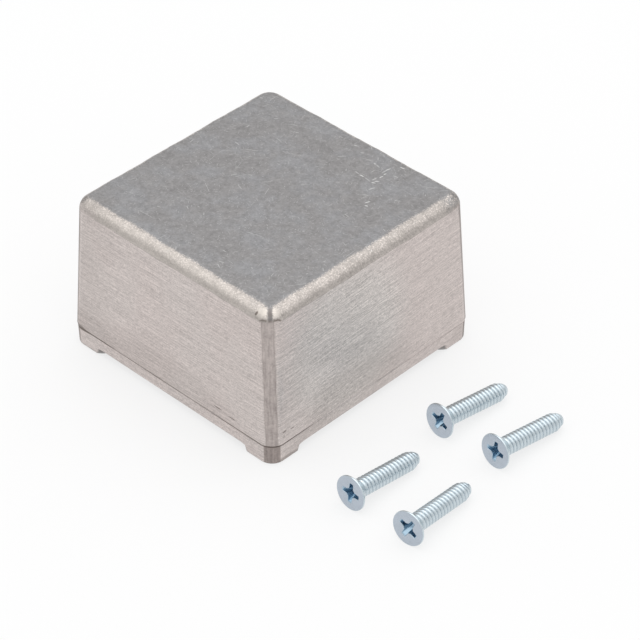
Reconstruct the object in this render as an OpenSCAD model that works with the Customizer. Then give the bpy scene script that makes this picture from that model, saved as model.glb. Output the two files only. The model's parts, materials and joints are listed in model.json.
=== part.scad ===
/* [Case] */
// Outside width of the square shell, at its open rim
case_w = 50.5; // [44:0.5:80]
// Height from the foot pads to the top face
case_h = 31; // [26:0.5:60]

/* [Shell] */
// Lean of the cast walls from upright, in degrees
wall_draft = 2.75; // [1:0.25:4]
// Thickness of the walls
wall_t = 2; // [1.5:0.1:2.6]
// Thickness of the closed end
roof_t = 2.2; // [1.5:0.1:4]
// Radius of the upright corners, beside the closed end
corner_r = 2.3; // [1.5:0.1:5]
// Radius round the edge of the closed end
top_edge_r = 1.8; // [0.5:0.1:3]
// Radius of the upright corners inside, beside the closed end
inner_corner_r = 1.4; // [1:0.1:3]
// Radius round the inside of the closed end
inner_edge_r = 1; // [0.4:0.1:2]

/* [Screw bosses] */
// Metal round each tapped hole
boss_wall = 2.45; // [1.6:0.05:3]
// Lean of the bosses, in degrees
boss_draft = 1; // [0.5:0.25:2]
// How far the thread bites into the wall of a tapped hole
thread_bite = 0.35; // [0.2:0.05:0.5]
// Depth of a tapped hole past the tip of its screw
tap_spare = 1.2; // [0.5:0.1:4]
// Chamfer round the mouth of a tapped hole
tap_chamfer = 0.3; // [0.1:0.05:0.4]
// Point angle of the drilled end of a tapped hole, in degrees
drill_point = 118; // [90:1:135]

/* [Lid] */
// How far the lid stands back from the outside of the shell
lid_setback = 0.1; // [0:0.05:0.4]
// Height of the lid's side between the foot pads
lid_edge_h = 2.6; // [2.2:0.1:5]
// Lean of the lid's sides towards the foot pads, in degrees
lid_draft = 1.5; // [0.5:0.25:4]
// Radius of the lid's corners, at the foot pads
lid_corner_r = 2.7; // [1.5:0.1:5]
// Height of the lip that stands inside the shell
lip_h = 1.6; // [0.8:0.1:4]
// Thickness of the lip
lip_t = 1.4; // [0.8:0.1:2.4]
// Clearance between the lip and the inside of the shell
lip_gap = 0.25; // [0.15:0.05:0.5]

/* [Foot pads] */
// Height of the foot pads under the lid
foot_h = 1.4; // [0.8:0.1:3]
// Metal round the countersink in a foot pad
foot_rim = 1.15; // [0.5:0.05:2]
// Metal between a countersink and the side of the lid
side_rim = 0.65; // [0.2:0.05:2]
// Lean of the round end of a foot pad, in degrees
foot_draft = 12; // [4:1:30]
// Radius round the lower edge of a foot pad
foot_edge_r = 0.35; // [0.1:0.05:0.5]

/* [Screws] */
// Length of a screw with its head
screw_l = 15.8; // [10:0.1:20]
// Outside diameter of the thread
thread_d = 3.4; // [3:0.1:4]
// Diameter of the flat head
head_d = 6.4; // [6:0.1:8]
// Height of the straight rim of the head
head_rim = 0.25; // [0.1:0.05:0.5]
// Angle of the countersunk head, in degrees
head_angle = 82; // [80:1:100]
// Length of the tapered tip
tip_l = 1.9; // [1:0.1:4]
// Diameter at the end of the tip
tip_d = 2.3; // [1.6:0.1:2.8]
// Chamfer round the end of the tip
tip_chamfer = 0.3; // [0.1:0.05:0.6]
// Width across the cross recess
recess_w = 3.8; // [3:0.1:5]
// Width of one arm of the cross recess
recess_arm = 0.8; // [0.6:0.05:1.2]
// Radius of the round middle of the cross recess
recess_core_r = 0.85; // [0.7:0.05:1.3]
// Depth of the cross recess
recess_depth = 1.9; // [1:0.1:2.2]
// Radius at the bottom of the cross recess
recess_floor_r = 0.5; // [0.3:0.05:0.7]
// Clearance of a screw in its hole in the lid
hole_gap = 0.1; // [0.05:0.05:0.3]
// Clearance round a head in its countersink
head_gap = 0.1; // [0.05:0.05:0.3]

/* [Loose screws] */
// How far the heads of the first row lie on the -Y side of the middle of the case
first_row_back = 23; // [10:0.5:30]
// Space between the tips of the first row and the heads of the second
row_space = 8; // [4:0.5:20]
// Distance of the nearest head from the shell's side
near_x = 14.2; // [8:0.1:30]
// Space between the two screws of a row
column_space = 12; // [8:0.5:20]
// How much further out the first row lies than the second
row_shift = 1.7; // [0:0.1:6]
// How far a screw strays from its row
stray = 0.7; // [0:0.1:2]

/* [Hidden] */
$fn = 96;

// Lengths worked out below are kept to whole micrometres, so that faces which meet share their edges
function micro(length) = round(length * 1000) / 1000;

// Spare length that carries a cut past the surface it opens
over = 1;
// Largest share of a corner's radius that an edge rounding may take up
edge_share = 0.95;

// Heights: the joint between lid and shell, and the shell's own height
joint_z = foot_h + lid_edge_h;
shell_h = case_h - joint_z;

// Half widths at the joint: of the shell, its hollow and the lid
shell_half = case_w / 2;
hollow_half = shell_half - wall_t;
lid_half = shell_half - lid_setback;

// Lip: it clears the leaning wall at its own top
lip_half = micro(hollow_half - lip_h * tan(wall_draft) - lip_gap);

// Screw, its holes and its seat
head_r = head_d / 2;
thread_r = thread_d / 2;
sink_r = head_r + head_gap;
head_h = head_rim + (head_r - thread_r) / tan(head_angle / 2);
hole_r = thread_r + hole_gap;
tap_r = thread_r - thread_bite;
tap_depth = screw_l - joint_z + tap_spare;
boss_r = tap_r + boss_wall;
foot_r = sink_r + foot_rim;
foot_top_r = micro(foot_r + foot_h * tan(foot_draft));

// Screw axes, set in from the lid's side at the foot pads by the countersink and its rim
screw_at = micro(lid_half - joint_z * tan(lid_draft) - sink_r - side_rim);

// Loose screws: a screw lies on the rim of its head and on its thread, so its axis slopes
screw_slope = atan((head_r - thread_r) / (screw_l - tip_l - head_rim));
first_row_y = -first_row_back;
second_row_y = first_row_y + screw_l + row_space;
first_row_x = near_x + row_shift;
// One screw each: distance of its head from the shell's side, the head along Y,
// the screw's direction on the floor and the turn of its recess, in degrees
screw_places = [
  [first_row_x, first_row_y, 88.3, 0],
  [first_row_x + column_space + stray, first_row_y + stray / 2, 93.4, 27],
  [near_x + column_space, second_row_y + stray, 85.6, 0],
  [near_x, second_row_y, 86, 18]
];

// Right half of the section of a drafted block: width w at its base, the side leaning inwards,
// and a quarter circle between the side and the top
module drafted_section(w, h, lean, edge) {
  arc_y = h - edge;
  arc_x = micro(w - arc_y * tan(lean) - edge);
  polygon([
    [0, 0],
    [w, 0],
    [arc_x + edge, arc_y],
    [arc_x, arc_y],
    [arc_x, h],
    [0, h]
  ]);
  translate([arc_x, arc_y])
    intersection() {
      circle(r = edge);
      square(2 * edge);
    }
}

// Solid with drafted sides, round upright corners and a round upper edge, its base on z = 0:
// the section is carried along the four sides and round the four corners of a square core
module drafted_block(half, h, lean, corner, edge) {
  core = micro(half - h * tan(lean) - corner);
  round_edge = min(edge, corner * edge_share);
  translate([-core, -core, 0])
    cube([2 * core, 2 * core, h]);
  for (turn = [0, 90, 180, 270])
    rotate([0, 0, turn])
      translate([core, core, 0]) {
        rotate_extrude(angle = 90)
          drafted_section(half - core, h, lean, round_edge);
        rotate([90, 0, 0])
          linear_extrude(2 * core)
            drafted_section(half - core, h, lean, round_edge);
      }
}

// Places its children at the four screw axes
module at_screws() {
  for (x = [-1, 1], y = [-1, 1])
    translate([x * screw_at, y * screw_at])
      children();
}

// Blind hole for a screw's thread, rising from its chamfered mouth to a drilled point
module tapped_hole() {
  cylinder(r = tap_r, h = tap_depth);
  translate([0, 0, tap_depth])
    cylinder(r1 = tap_r, r2 = 0, h = tap_r / tan(drill_point / 2));
  translate([0, 0, -over])
    cylinder(r = tap_r + tap_chamfer, h = over);
  cylinder(r1 = tap_r + tap_chamfer, r2 = tap_r, h = tap_chamfer);
}

// Inside of the shell: a drafted hollow that leaves a leaning boss in each corner
module shell_hollow() {
  difference() {
    drafted_block(hollow_half, shell_h - roof_t, wall_draft, inner_corner_r, inner_edge_r);
    at_screws()
      cylinder(r1 = boss_r, r2 = boss_r + shell_h * tan(boss_draft), h = shell_h);
  }
}

// Die-cast cup of the case, its closed end up
module shell() {
  color([0.68, 0.67, 0.66])
    translate([0, 0, joint_z])
      difference() {
        drafted_block(shell_half, shell_h, wall_draft, corner_r, top_edge_r);
        shell_hollow();
        at_screws()
          tapped_hole();
      }
}

// Outline of the space inside the shell that the lip may take up, drawn in by inset
module lip_outline(inset) {
  difference() {
    square(2 * (lip_half - inset), center = true);
    at_screws()
      circle(r = boss_r + lip_gap + inset);
  }
}

// Space under the lid, round the foot pads: each pad is a round boss that runs out into the corner
module foot_space() {
  difference() {
    translate([-shell_half, -shell_half, -over])
      cube([case_w, case_w, over + foot_h]);
    at_screws()
      translate([0, 0, foot_h])
        mirror([0, 0, 1])
          rotate_extrude()
            drafted_section(foot_top_r, foot_h, foot_draft, foot_edge_r);
    for (turn = [0, 90, 180, 270])
      rotate([0, 0, turn])
        translate([screw_at, screw_at, 0])
          cube([shell_half, shell_half, foot_h]);
  }
}

// Clearance hole with its countersink, from the foot pad's lower face up through the lid
module countersunk_hole() {
  translate([0, 0, -over])
    cylinder(r = hole_r, h = joint_z + 2 * over);
  translate([0, 0, -over])
    cylinder(r = sink_r, h = over + head_rim);
  translate([0, 0, head_rim])
    cylinder(r1 = sink_r, r2 = hole_r, h = (sink_r - hole_r) / tan(head_angle / 2));
}

// Die-cast lid: a plate on four corner pads, with a lip that locates the shell
module lid() {
  color([0.66, 0.65, 0.64])
    difference() {
      union() {
        translate([0, 0, joint_z])
          mirror([0, 0, 1])
            drafted_block(lid_half, joint_z, lid_draft, lid_corner_r, foot_edge_r);
        translate([0, 0, joint_z])
          linear_extrude(lip_h)
            difference() {
              lip_outline(0);
              lip_outline(lip_t);
            }
      }
      foot_space();
      at_screws()
        countersunk_hole();
    }
}

// Cross recess: four arms round a middle, all running in towards the floor
module cross_recess() {
  intersection() {
    translate([0, 0, -over])
      linear_extrude(over + recess_depth) {
        circle(r = recess_core_r);
        for (turn = [0, 90])
          rotate(turn)
            square([recess_w, recess_arm], center = true);
      }
    union() {
      translate([0, 0, -over])
        cylinder(r = recess_w / 2, h = over);
      cylinder(r1 = recess_w / 2, r2 = recess_floor_r, h = recess_depth);
    }
  }
}

// Countersunk screw with its head's face on z = 0 and its tip up
module screw() {
  difference() {
    rotate_extrude()
      polygon([
        [0, 0],
        [head_r, 0],
        [head_r, head_rim],
        [thread_r, head_h],
        [thread_r, screw_l - tip_l],
        [tip_d / 2, screw_l - tip_chamfer],
        [tip_d / 2 - tip_chamfer, screw_l],
        [0, screw_l]
      ]);
    cross_recess();
  }
}

// The four lid screws, taken out and lying beside the case
module lid_screws() {
  color([0.75, 0.79, 0.84])
    for (place = screw_places)
      translate([shell_half + place[0], place[1], 0])
        rotate([0, 0, place[2]])
          rotate([0, screw_slope, 0])
            translate([-head_rim, 0, head_r])
              rotate([0, 90, 0])
                rotate([0, 0, place[3]])
                  screw();
}

shell();
lid();
lid_screws();
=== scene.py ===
"""Looks of a small die-cast electronics enclosure and of its four loose lid screws.

Sizes are in millimetres until a mesh is made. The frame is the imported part's own: +Z up, the floor at z = 0,
the case over the origin and the screws on its +X side. The case's sides are counted from +X towards +Y, and
each corner has the number of the side before it.
"""

import json
import logging
import math
from collections.abc import Callable
from dataclasses import dataclass
from enum import Enum
from functools import reduce
from typing import Any

import bmesh
import bpy
import numpy as np
from mathutils import Matrix, Vector
from mathutils.geometry import delaunay_2d_cdt


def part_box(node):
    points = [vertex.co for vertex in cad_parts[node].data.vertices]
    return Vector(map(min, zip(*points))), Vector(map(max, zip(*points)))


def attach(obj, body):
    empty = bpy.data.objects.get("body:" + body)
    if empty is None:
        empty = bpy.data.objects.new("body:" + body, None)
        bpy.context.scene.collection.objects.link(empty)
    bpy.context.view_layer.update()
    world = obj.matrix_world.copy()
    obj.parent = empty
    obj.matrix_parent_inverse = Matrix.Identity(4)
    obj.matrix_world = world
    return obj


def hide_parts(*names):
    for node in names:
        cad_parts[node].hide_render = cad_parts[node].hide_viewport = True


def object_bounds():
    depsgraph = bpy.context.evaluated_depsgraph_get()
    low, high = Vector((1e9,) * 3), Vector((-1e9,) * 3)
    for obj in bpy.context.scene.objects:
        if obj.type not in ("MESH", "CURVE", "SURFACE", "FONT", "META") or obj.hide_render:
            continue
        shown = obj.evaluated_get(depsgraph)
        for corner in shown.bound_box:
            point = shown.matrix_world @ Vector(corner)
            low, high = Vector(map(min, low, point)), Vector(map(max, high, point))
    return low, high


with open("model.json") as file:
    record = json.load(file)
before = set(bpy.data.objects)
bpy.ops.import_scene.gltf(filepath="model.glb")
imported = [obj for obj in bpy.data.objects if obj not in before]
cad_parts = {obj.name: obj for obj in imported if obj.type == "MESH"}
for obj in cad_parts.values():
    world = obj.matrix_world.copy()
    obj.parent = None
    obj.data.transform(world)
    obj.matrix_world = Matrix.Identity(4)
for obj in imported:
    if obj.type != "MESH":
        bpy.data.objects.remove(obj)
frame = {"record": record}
CAD_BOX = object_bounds()

MM = 0.001
RIGHT_ANGLE = math.pi / 2
FULL_TURN = 2 * math.pi
LOG = logging.getLogger("enclosure")

Array = np.ndarray
Colour = tuple[float, float, float]
Three = tuple[float, float, float]
Span = tuple[float, float]
Four = tuple[float, float, float, float]
Tree = bpy.types.NodeTree


class Body(Enum):
    """What carries a piece."""

    BASE = "base"
    COVER = "cover"


# Outlines


# Cosine and sine of none to three right angles
QUARTER_TURNS = ((1, 0), (0, 1), (-1, 0), (0, -1))


def slope(angle: float) -> float:
    """Run of a leaning wall for each unit of its height: the tangent of its lean, given in degrees."""
    return math.tan(math.radians(angle))


def about_z(points: Array, quarter: int) -> Array:
    """Turns points about Z by a number of right angles.

    Args:
        points: points of two or more parts; what follows X and Y stays.
        quarter: how many right angles.

    Returns:
        The turned points.
    """
    cosine, sine = QUARTER_TURNS[quarter % 4]
    x, y = points[..., 0], points[..., 1]
    spun = x * cosine - y * sine, x * sine + y * cosine
    return np.stack([*spun, *np.moveaxis(points[..., 2:], -1, 0)], -1)


def turned(quarter: Array) -> Array:
    """The closed outline that one quarter of it makes, carried round the other three a right angle apart."""
    return np.concatenate([about_z(quarter, turn) for turn in range(4)], -2)


def rays(angle: Array) -> Array:
    """Points at the given angles on a circle of radius 1: their cosines and sines."""
    return np.stack([np.cos(angle), np.sin(angle)], -1)


def notched_square(half: Array, axis: float, radius: Array, flats: int, arcs: int) -> Array:
    """Outline of a square whose corners are cut away by circles about the screw axes.

    A side lies at the distance half from the middle. It ends where the circle crosses it, and the circle is
    then followed on its inner side to the next side.

    Args:
        half: half width of the square, one for each level.
        axis: distance of the screw axes from the middle, along X and Y.
        radius: radius of the circles, one for each level.
        flats: points on a side.
        arcs: points on a circle.

    Returns:
        Points, as levels x outline x 2.
    """
    half, radius = (np.asarray(size, float)[..., None] for size in (half, radius))
    half, radius = np.broadcast_arrays(half, radius)
    reach = np.sqrt(radius**2 - (half - axis) ** 2)
    along = (axis - reach) * (2 * np.arange(flats) / flats - 1)
    side = np.stack([half + 0 * along, along], -1)
    first = np.arctan2(-reach, half - axis)
    turn = first - (3 * RIGHT_ANGLE + 2 * first) * np.arange(arcs) / arcs
    notch = axis + radius[..., None] * rays(turn)
    return turned(np.concatenate([side, notch], -2))


def circle(radius: Array, angle: Array) -> Array:
    """Points at the given angles on circles of the given radii, as radii x angles x 2."""
    return np.asarray(radius, float)[..., None, None] * rays(angle)


def raised(outline: Array, height: Array) -> Array:
    """Gives each level of an outline its height: levels x outline x 2 becomes levels x outline x 3."""
    tall = np.broadcast_to(np.asarray(height, float)[..., None], outline.shape[:-1])
    return np.concatenate([outline, tall[..., None]], -1)


def shrunk(loop: Array, rings: int) -> Array:
    """Flat rings from a loop to the loop's middle: ring k is the loop times 1 - k / rings.

    Args:
        loop: points x 3.
        rings: how many rings follow the loop.

    Returns:
        Points, as rings x loop x 3.
    """
    middle = loop.mean(0)
    share = np.linspace(1.0, 0.0, rings + 1)[:, None, None]
    return middle + (loop - middle) * share


def eased(value: Array, low: float, high: float) -> Array:
    """Smooth step: 0 up to low, 1 from high on, and three t squared less two t cubed between."""
    t = np.clip((value - low) / (high - low), 0.0, 1.0)
    return t * t * (3 - 2 * t)


def peak(value: Array, middle: Array, width: float) -> Array:
    """Bell curve: e to the power of minus the square of the distance from the middle, in widths."""
    return np.exp(-(((value - middle) / width) ** 2))


# Of three sines of unlike lengths: turn for each unit of length, turn for each unit of the seed, and share
SINES = ((0.31, 1.0, 0.5), (0.83, 2.1, 0.3), (2.05, 3.7, 0.2))


@dataclass(frozen=True)
class Waves:
    """Gentle unevenness along the sides or corners.

    Attributes:
        size: how far it reaches to either side of its middle, at most.
        density: how closely its waves follow each other.
        seed, step: where they begin on the first side, and how much further on each next one.
    """

    size: float
    density: float = 1.0
    seed: float = 0.0
    step: float = 0.0

    def at(self, along: Array, quarter: int = 0) -> Array:
        """How uneven it is at each place along one side."""
        seed = self.seed + self.step * quarter
        along = along * self.density
        return self.size * sum(np.sin(along * rate + lag * seed) * share for rate, lag, share in SINES)


def thread_wave(turns: Array, fullness: float = 2.4) -> Array:
    """Height of a rolled thread: 1 along its broad, rounded crest and 0 at the bottom of a narrow groove.

    Args:
        turns: turns along the screw, less the turn about its axis.
        fullness: power of the distance from the crest; a larger one gives a broader crest.

    Returns:
        One less the power of the distance from the crest's middle.
    """
    return 1 - np.abs(2 * (turns % 1.0) - 1) ** fullness


# Meshes


class Skin:
    """Grids of points, in millimetres, that meet edge to edge and are welded into one closed mesh."""

    WELD = 2e-4
    SHARP = math.radians(34)
    MARKS = "finish_and_shade_marks"

    def __init__(self) -> None:
        """Starts an empty skin."""
        self.points: list[Array] = []
        self.marks: list[Array] = []
        self.faces: list[Array] = []
        self.count = 0

    def _add(self, points: Array, marks: Any, faces: Array) -> None:
        """Adds points with their marks, and faces that count from the first of them.

        Args:
            points: grid or list of points.
            marks: marks of finish, painted highlight and painted shade for the points, or one triple for all.
            faces: the points of each face.
        """
        flat = points.reshape(-1, 3)
        self.points.append(flat)
        self.marks.append(np.broadcast_to(np.asarray(marks, float), points.shape).reshape(-1, 3))
        self.faces.append(faces.reshape(-1, faces.shape[-1]) + self.count)
        self.count += len(flat)

    def grid(self, points: Array, marks: Any = (0.0, 0.0, 0.0)) -> None:
        """Adds the quads between neighbouring points of a grid whose last column joins the first.

        Args:
            points: rows x columns x 3.
            marks: marks of finish, painted highlight and painted shade for the points, or one triple for all.
        """
        rows, columns = points.shape[:2]
        index = np.arange(rows * columns).reshape(rows, columns)
        after = np.roll(index, -1, 1)
        quads = np.stack([index[:-1], after[:-1], after[1:], index[1:]], -1)
        self._add(points, marks, quads)

    def capped(self, points: Array, rings: int, marks: Any = (0.0, 0.0, 0.0)) -> None:
        """Adds a grid, and the flat rings that close its last row."""
        self.grid(points, marks)
        self.grid(shrunk(points[-1], rings))

    def web(self, loops: list[Array], height: float) -> None:
        """Fills the flat face between an outer loop and the loops inside it with triangles.

        A triangle is kept where a line from its middle crosses the loops an odd number of times.

        Args:
            loops: closed loops, each points x 2.
            height: height of the face.
        """
        corners = np.concatenate(loops)
        starts = np.cumsum([0] + [len(loop) for loop in loops])
        after = [low + (np.arange(len(loop)) + 1) % len(loop) for low, loop in zip(starts, loops)]
        edges = np.stack([np.arange(len(corners)), np.concatenate(after)], 1)
        found = delaunay_2d_cdt([Vector(c) for c in corners], edges.tolist(), [], 1, self.WELD)
        points, faces = np.array(found[0]), np.array(found[2])
        middle = points[faces].mean(1)[:, None]
        a, b = corners[edges[:, 0]][None], corners[edges[:, 1]][None]
        spans = (a[..., 1] > middle[..., 1]) != (b[..., 1] > middle[..., 1])
        share = (middle[..., 1] - a[..., 1]) / np.where(spans, b[..., 1] - a[..., 1], 1.0)
        crossed = spans & (middle[..., 0] < a[..., 0] + share * (b[..., 0] - a[..., 0]))
        inside = crossed.sum(1) % 2 == 1
        self._add(raised(points, height), (0.0, 0.0, 0.0), faces[inside])

    def build(
        self, name: str, material: bpy.types.Material, place: Matrix | None = None
    ) -> bpy.types.Object:
        """Welds the grids into one object with outward faces, at the origin and in metres.

        Args:
            name: the object's name.
            material: its finish.
            place: where the piece goes, in millimetres; it goes into the mesh.

        Returns:
            The linked object.
        """
        mesh = bpy.data.meshes.new(name)
        faces = [face for block in self.faces for face in block.tolist()]
        mesh.from_pydata(np.concatenate(self.points), [], faces)
        layer = mesh.attributes.new(self.MARKS, "FLOAT_COLOR", "POINT")
        marks = np.concatenate(self.marks)
        layer.data.foreach_set("color", np.c_[marks, np.ones(len(marks))].astype(np.float32).ravel())
        work = bmesh.new()
        work.from_mesh(mesh)
        bmesh.ops.remove_doubles(work, verts=work.verts, dist=self.WELD)
        bmesh.ops.dissolve_degenerate(work, edges=work.edges, dist=self.WELD)
        bmesh.ops.recalc_face_normals(work, faces=work.faces)
        work.to_mesh(mesh)
        work.free()
        mesh.transform(Matrix.Scale(MM, 4) @ (place or Matrix.Identity(4)))
        mesh.polygons.foreach_set("use_smooth", np.ones(len(mesh.polygons), bool))
        mesh.set_sharp_from_angle(angle=self.SHARP)
        mesh.materials.append(material)
        piece = bpy.data.objects.new(name, mesh)
        bpy.context.scene.collection.objects.link(piece)
        return piece


# Shader maths


def opaque(colour: Colour) -> Four:
    """A colour with full alpha."""
    return (*colour, 1.0)


def arithmetic(operation: str, swapped: bool = False) -> Callable[["Value", Any], "Value"]:
    """Makes an operator of Value.

    Args:
        operation: the Math node's operation.
        swapped: whether the other term comes first.

    Returns:
        A method that adds a Math node on a value and another term.
    """

    def operator(value: "Value", other: Any) -> "Value":
        """The operation on a value and another term."""
        return value.math(operation, *((other, value) if swapped else (value, other)))

    return operator


class Value:
    """A node's output. Arithmetic on it adds Math nodes to its tree."""

    def __init__(self, tree: Tree, socket: bpy.types.NodeSocket) -> None:
        """Wraps a socket of a tree."""
        self.tree = tree
        self.socket = socket

    @classmethod
    def node(
        cls, tree: Tree, kind: str, settings: dict[str, Any], inputs: dict[Any, Any], output: Any = 0
    ) -> "Value":
        """Adds a node.

        Args:
            tree: where it goes.
            kind: the node's type.
            settings: its own settings, which are set first.
            inputs: a number, a colour or a Value for each named or numbered socket.
            output: the output to hand back.

        Returns:
            That output.
        """
        made = tree.nodes.new(kind)
        for name, setting in settings.items():
            setattr(made, name, setting)
        for name, value in inputs.items():
            if isinstance(value, Value):
                tree.links.new(value.socket, made.inputs[name])
            else:
                made.inputs[name].default_value = value
        return cls(tree, made.outputs[output])

    def math(self, operation: str, *terms: Any) -> "Value":
        """A Math node of this tree on the given terms."""
        return self.node(self.tree, "ShaderNodeMath", {"operation": operation}, dict(enumerate(terms)))

    __add__ = arithmetic("ADD")
    __radd__ = arithmetic("ADD", swapped=True)
    __sub__ = arithmetic("SUBTRACT")
    __rsub__ = arithmetic("SUBTRACT", swapped=True)
    __mul__ = arithmetic("MULTIPLY")
    __rmul__ = arithmetic("MULTIPLY", swapped=True)
    larger = arithmetic("MAXIMUM")

    def __abs__(self) -> "Value":
        """This without its sign."""
        return self.math("ABSOLUTE", self)

    def step(self, low: float, high: float) -> "Value":
        """Smooth step from 0 at low to 1 at high, or falling where high is the smaller."""
        inputs = {"Value": self, "From Min": low, "From Max": high, "To Min": 0.0, "To Max": 1.0}
        return self.node(self.tree, "ShaderNodeMapRange", {"interpolation_type": "SMOOTHSTEP"}, inputs)

    def vector(self, second: Any, third: Any) -> "Value":
        """A vector of this and two more values."""
        return self.node(self.tree, "ShaderNodeCombineXYZ", {}, {0: self, 1: second, 2: third})

    def vector_math(self, operation: str, other: Any) -> "Value":
        """A Vector Math node on this vector and another one."""
        return self.node(self.tree, "ShaderNodeVectorMath", {"operation": operation}, {0: self, 1: other})

    def scaled(self, by: Any) -> "Value":
        """This vector or colour times a number."""
        return self.node(self.tree, "ShaderNodeVectorMath", {"operation": "SCALE"}, {0: self, "Scale": by})

    def part(self, index: int) -> "Value":
        """One part of a vector or colour: 0, 1 or 2."""
        return self.node(self.tree, "ShaderNodeSeparateXYZ", {}, {0: self}, index)

    def mixed(self, first: Any, second: Any) -> "Value":
        """The first colour with the second laid over it, by this share.

        Args:
            first: the colour below, plain or a Value.
            second: the colour above, plain or a Value.

        Returns:
            The mixed colour.
        """
        first, second = (shade if isinstance(shade, Value) else opaque(shade) for shade in (first, second))
        settings = {"data_type": "RGBA", "clamp_factor": True}
        return self.node(self.tree, "ShaderNodeMix", settings, {0: self, 6: first, 7: second}, 2)


def blank_material(name: str) -> tuple[bpy.types.Material, Tree, bpy.types.Node]:
    """Makes a material with one shader.

    Args:
        name: its name.

    Returns:
        The material, its tree and the shader.
    """
    material = bpy.data.materials.new(name)
    material.use_nodes = True
    return material, material.node_tree, material.node_tree.nodes["Principled BSDF"]


def place_of(tree: Tree) -> Value:
    """The surface's own place, in millimetres."""
    return Value.node(tree, "ShaderNodeTexCoord", {}, {}, "Object").scaled(1 / MM)


def marks_of(tree: Tree) -> list[Value]:
    """The surface's three marks of finish, painted highlight and painted shade."""
    marks = Value.node(tree, "ShaderNodeAttribute", {"attribute_name": Skin.MARKS}, {}, "Color")
    return [marks.part(index) for index in range(3)]


def dress(shader: bpy.types.Node, colour: Value, rough: Value, relief: Value, bump: float) -> None:
    """Makes a shader a metal with a given colour, roughness and relief.

    Args:
        shader: the shader.
        colour: its colour.
        rough: its roughness.
        relief: height of its relief, in millimetres.
        bump: how strongly the relief shows.
    """
    shader.inputs["Metallic"].default_value = 1.0
    inputs = {"Strength": bump, "Distance": MM, "Height": relief}
    normal = Value.node(relief.tree, "ShaderNodeBump", {}, inputs)
    for name, value in {"Base Color": colour, "Roughness": rough, "Normal": normal}.items():
        value.tree.links.new(value.socket, shader.inputs[name])


# Finishes


@dataclass(frozen=True)
class Noise:
    """Uneven tone of a metal.

    Attributes:
        scale: one over the size of its features.
        detail: how many finer layers it has.
        rough: how strong each finer layer is.
        weight: how strongly it shows in the tone.
    """

    scale: float
    detail: float = 2.0
    rough: float = 0.5
    weight: float = 1.0

    def at(self, place: Value) -> Value:
        """The noise at a place, from about -0.5 to 0.5."""
        inputs = {"Vector": place, "Scale": self.scale, "Detail": self.detail, "Roughness": self.rough}
        return Value.node(place.tree, "ShaderNodeTexNoise", {}, inputs) - 0.5


@dataclass(frozen=True)
class BeltLines:
    """Lines that a sanding belt leaves on the sides: noise drawn out along X + Y and packed tight along Z.

    Attributes:
        along: one over their length.
        across: one over their width.
        weight: how strongly they show in the tone.
        seed: where in the noise they are taken from.
        detail: how many finer layers they have.
        tilt: how far they rise along X and along Y.
    """

    along: float
    across: float
    weight: float
    seed: float
    detail: float = 1.0
    tilt: Span = (0.02, 0.04)

    def at(self, place: Value) -> Value:
        """Noise that is drawn out along the lines.

        Args:
            place: the surface's place.

        Returns:
            The lines, from about -0.5 to 0.5.
        """
        x, y, z = (place.part(index) for index in range(3))
        up = z - x * self.tilt[0] - y * self.tilt[1]
        return Noise(1.0, self.detail).at(((x + y) * self.along).vector(up * self.across, self.seed))


@dataclass(frozen=True)
class Scratches:
    """Short straight scratches in the XY plane: one in each cell of a cell pattern, turned at random.

    Attributes:
        cell: size of a cell.
        length: half length of a scratch, before chance changes it.
        width: half width of a scratch.
        share: share of the cells that have one.
        strength: how strong they are, up to 1.
        shortest: share of the length that the shortest one has; the longest has one length more.
        core: share of the width that is at full strength.
        fading: share of the length over which an end fades.
        brink: how far below the share a cell's chance is for full strength.
    """

    cell: float
    length: float
    width: float
    share: float
    strength: float
    shortest: float = 0.3
    core: float = 0.3
    fading: float = 0.4
    brink: float = 0.02

    def mask(self, place: Value) -> Value:
        """Finds the nearest scratch: how far a place is along and across it, by the cell's own chances.

        Args:
            place: the surface's place.

        Returns:
            The strength in a scratch, and 0 beside it.
        """
        tree = place.tree
        flat = place.part(0).vector(place.part(1), 0.0)
        inputs = {"Vector": flat, "Scale": 1 / self.cell}
        cells = Value.node(tree, "ShaderNodeTexVoronoi", {}, inputs, "Position")
        chance = Value.node(tree, "ShaderNodeTexWhiteNoise", {}, {"Vector": cells}, "Color")
        away = flat.vector_math("SUBTRACT", cells)
        angle = chance.part(0) * FULL_TURN
        cosine, sine = angle.math("COSINE", angle), angle.math("SINE", angle)
        along = abs(away.part(0) * cosine + away.part(1) * sine)
        across = abs(away.part(1) * cosine - away.part(0) * sine)
        reach = self.length * (self.shortest + chance.part(1))
        line = across.step(self.width, self.core * self.width)
        line = line * (along - reach).step(0.0, -self.fading * self.length)
        return line * (self.share - chance.part(2)).step(0.0, self.brink) * self.strength


@dataclass(frozen=True)
class Spot:
    """A marked place in the metal.

    Attributes:
        middle: where it is.
        reach: its half sizes, along X, Y and Z before it is turned.
        strength: how strong it is, up to about 1.
        turn: its turn about Z, in degrees.
        core: share of the reach within which it is at full strength.
    """

    middle: Three
    reach: Three
    strength: float = 1.0
    turn: float = 0.0
    core: float = 0.5

    def mask(self, place: Value) -> Value:
        """Measures how far a place is from the middle, in reaches.

        Args:
            place: the surface's place.

        Returns:
            The strength within the core, falling to 0 at the reach.
        """
        turn = (0.0, 0.0, math.radians(self.turn))
        inputs = {"Vector": place, "Location": self.middle, "Rotation": turn, "Scale": self.reach}
        away = Value.node(place.tree, "ShaderNodeMapping", {"vector_type": "TEXTURE"}, inputs)
        far = Value.node(place.tree, "ShaderNodeVectorMath", {"operation": "LENGTH"}, {0: away}, "Value")
        return far.step(1.0, self.core) * self.strength


def marked(value: Value, place: Value, marks: tuple[Scratches | Spot, ...]) -> Value:
    """The larger of a value and of the strength of any mark at a place."""
    return reduce(Value.larger, [mark.mask(place) for mark in marks], value)


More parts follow.
